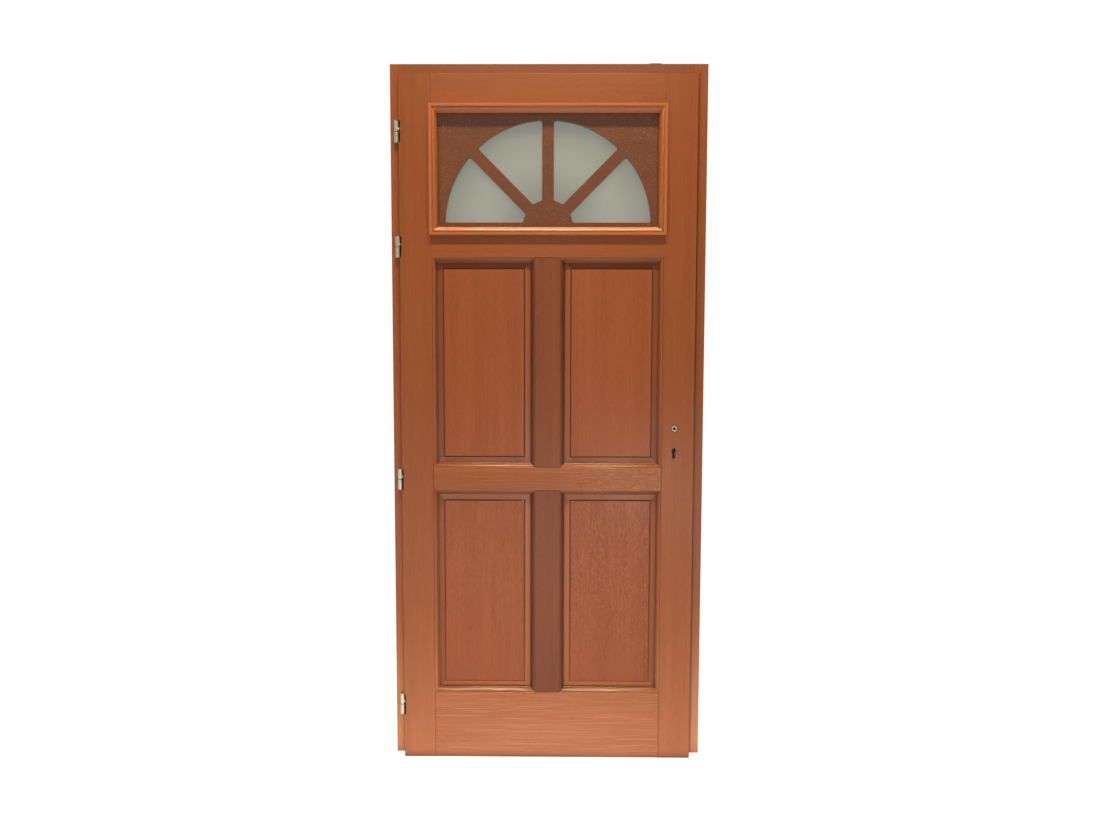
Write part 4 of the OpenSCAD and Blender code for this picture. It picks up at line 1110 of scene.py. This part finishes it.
class FRONTDOOR_OT_lock(Operator):
    """Make the lock case, its plates, the follower and the bolts"""
    bl_idname = "front_door.lock"
    bl_label = "Lock and keeps"

    def execute(self, context):
        metal = context.scene.door_metal
        plate = brushed_metal("lock_nickel", tuple(metal.plate_tone), 0.3)
        case = brushed_metal("case_zinc", tuple(metal.case_tone), 0.42, along="X", wear=0.2, metallic=0.15)
        hub = brushed_metal("follower_zinc", tuple(metal.hub_tone), 0.38, metallic=0.3, grime=True)
        screw = brushed_metal("screw_zinc", tuple(metal.plate_tone), 0.34, along="X")
        for node in ("lock_faceplate", "strike_plate", "latch_bolt", "dead_bolt"):
            dress_metal(node, plate, metal.barrel_arris)
        for node in ("faceplate_screws", "strike_screws"):
            dress_metal(node, screw, metal.barrel_arris * 0.5)
        dress_metal("lock_follower", hub, metal.barrel_arris, grime=True)
        paint("lock_case", case)
        return {"FINISHED"}


class FRONTDOOR_OT_seals(Operator):
    """Finish the seals, and the lug on the frame head with its screws"""
    bl_idname = "front_door.seals"
    bl_label = "Seals and lug"

    def execute(self, context):
        metal = context.scene.door_metal
        rubber = moulded_rubber("seal_rubber")
        for node in SEALS:
            paint(node, rubber)
        dark = blackened_steel("lug_steel", tuple(metal.lug_tone))
        dress_metal("head_lug", dark, metal.barrel_arris)
        dress_metal("lug_screws", dark, metal.barrel_arris * 0.5)
        return {"FINISHED"}


class FRONTDOOR_OT_stage(Operator):
    """Make the floor, the lamps, the world and the camera"""
    bl_idname = "front_door.stage"
    bl_label = "Stage"

    def execute(self, context):
        stage = context.scene.door_stage
        self.floor(stage)
        for name, (place, target, size, strength, extra) in LAMPS.items():
            self.lamp(name, place, target, size, getattr(stage, strength), **extra)
        self.world(context.scene, stage)
        self.camera(context.scene, stage)
        context.scene.view_settings.view_transform = "Standard"
        return {"FINISHED"}

    def floor(self, stage):
        bm = bmesh.new()
        bmesh.ops.create_grid(bm, x_segments=1, y_segments=1, size=FLOOR_SIZE)
        bmesh.ops.translate(bm, vec=(0, 0, -FLOOR_DROP), verts=bm.verts)
        mesh = bpy.data.meshes.new("stage_floor")
        bm.to_mesh(mesh)
        bm.free()
        material, nodes = finish("stage_floor")
        matt = nodes.add("ShaderNodeBsdfDiffuse", None, {"Color": opaque(stage.floor_tone)})
        faint = nodes.add("ShaderNodeBsdfDiffuse", None, {"Color": opaque(tinted(stage.floor_tone, 0.6))})
        away = nodes.add("ShaderNodeVectorMath", {"operation": "LENGTH"}, {0: nodes.place()}, out="Value")
        near, far = nodes.ease(away, 0.6, 0.2), nodes.ease(away, 1.4, 2.4)
        camera, glossy, through = self.rays(nodes)
        lift = (camera | through) * 0.92 + glossy * (0.12 + 0.55 * near + 0.4 * far)
        glow = nodes.add("ShaderNodeEmission", None, {"Color": nodes.mix(lift, (0, 0, 0), (1, 1, 1))})
        shown = nodes.add("ShaderNodeMixShader", None, {0: camera, 1: matt, 2: faint})
        both = nodes.add("ShaderNodeAddShader", None, {0: shown, 1: glow})
        nodes.add("ShaderNodeOutputMaterial", None, {"Surface": both})
        mesh.materials.append(material)
        floor = bpy.data.objects.new("stage_floor", mesh)
        bpy.context.scene.collection.objects.link(floor)

    def rays(self, nodes):
        """1 for each kind of ray that shows the background: from the camera, a mirror or glass."""
        kinds = ("Is Camera Ray", "Is Glossy Ray", "Is Transmission Ray")
        return [nodes.add("ShaderNodeLightPath", out=kind) for kind in kinds]

    def lamp(self, name, place, target, size, energy, spread=180, mirrored=True, tint=None):
        data = bpy.data.lights.new(name, "AREA")
        data.shape = "RECTANGLE"
        data.size, data.size_y = size
        data.energy = energy
        if tint:
            data.color = getattr(bpy.context.scene.door_stage, tint)
        data.spread = math.radians(spread)
        lamp = bpy.data.objects.new(name, data)
        lamp.location = place
        lamp.rotation_euler = (Vector(target) - Vector(place)).to_track_quat("-Z", "Y").to_euler()
        lamp.visible_camera = False
        lamp.visible_glossy = mirrored
        bpy.context.scene.collection.objects.link(lamp)

    def world(self, scene, stage):
        world = bpy.data.worlds.new("studio")
        world.use_nodes = True
        nodes = Nodes(world.node_tree)
        direction = nodes.add("ShaderNodeTexCoord", out="Generated")
        bright = nodes.ease(nodes.part(direction, "Y"), 0.0, 0.3)
        camera, glossy, through = self.rays(nodes)
        white = camera | through | (glossy * bright)
        dim = glossy * (1 - bright) * 0.08 + (1 - glossy) * stage.ambient
        level = white + (1 - white) * dim
        shader = nodes.add("ShaderNodeBackground", None, {"Color": (1, 1, 1, 1), "Strength": level})
        nodes.add("ShaderNodeOutputWorld", None, {"Surface": shader})
        scene.world = world

    def camera(self, scene, stage):
        data = bpy.data.cameras.new("photo_camera")
        data.sensor_fit = "HORIZONTAL"
        data.sensor_width = SENSOR_WIDTH
        data.lens = SENSOR_WIDTH * stage.focal_pixels / PHOTO_WIDTH
        data.clip_start, data.clip_end = CLIP_START, CLIP_END
        turns = ((-stage.yaw, "Z"), (math.pi / 2 - stage.pitch, "X"), (stage.roll, "Z"))
        place = Matrix.Translation(stage.camera_place)
        for turn, axis in turns:
            place = place @ Matrix.Rotation(turn, 4, axis)
        camera = bpy.data.objects.new("photo_camera", data)
        camera.matrix_world = place
        scene.collection.objects.link(camera)
        scene.camera = camera


OPERATORS = (
    FRONTDOOR_OT_stage,
    FRONTDOOR_OT_frame_wood,
    FRONTDOOR_OT_leaf_members,
    FRONTDOOR_OT_panels,
    FRONTDOOR_OT_sunburst,
    FRONTDOOR_OT_window,
    FRONTDOOR_OT_hinges,
    FRONTDOOR_OT_lock,
    FRONTDOOR_OT_seals,
)


class FRONTDOOR_PT_pieces(Panel):
    """Lists the pieces of the door and their settings"""
    bl_idname = "FRONTDOOR_PT_pieces"
    bl_label = "Front door"
    bl_space_type = "VIEW_3D"
    bl_region_type = "UI"
    bl_category = "Front Door"

    def draw(self, context):
        for operator in OPERATORS:
            self.layout.operator(operator.bl_idname)
        for key in SETTINGS:
            group = getattr(context.scene, key)
            box = self.layout.box()
            for name in group.__annotations__:
                box.prop(group, name)


SETTINGS = {
    "door_wood": DoorWoodSettings,
    "door_fan": DoorFanSettings,
    "door_metal": DoorMetalSettings,
    "door_glass": DoorGlassSettings,
    "door_stage": DoorStageSettings,
}
CLASSES = (*SETTINGS.values(), *OPERATORS, FRONTDOOR_PT_pieces)


def register():
    for cls in CLASSES:
        bpy.utils.register_class(cls)
    for key, group in SETTINGS.items():
        setattr(bpy.types.Scene, key, PointerProperty(type=group))


def unregister():
    for key in SETTINGS:
        delattr(bpy.types.Scene, key)
    for cls in reversed(CLASSES):
        bpy.utils.unregister_class(cls)


def main():
    register()
    for operator in OPERATORS:
        group, name = operator.bl_idname.split(".")
        getattr(getattr(bpy.ops, group), name)()


if __name__ == "__main__":
    main()
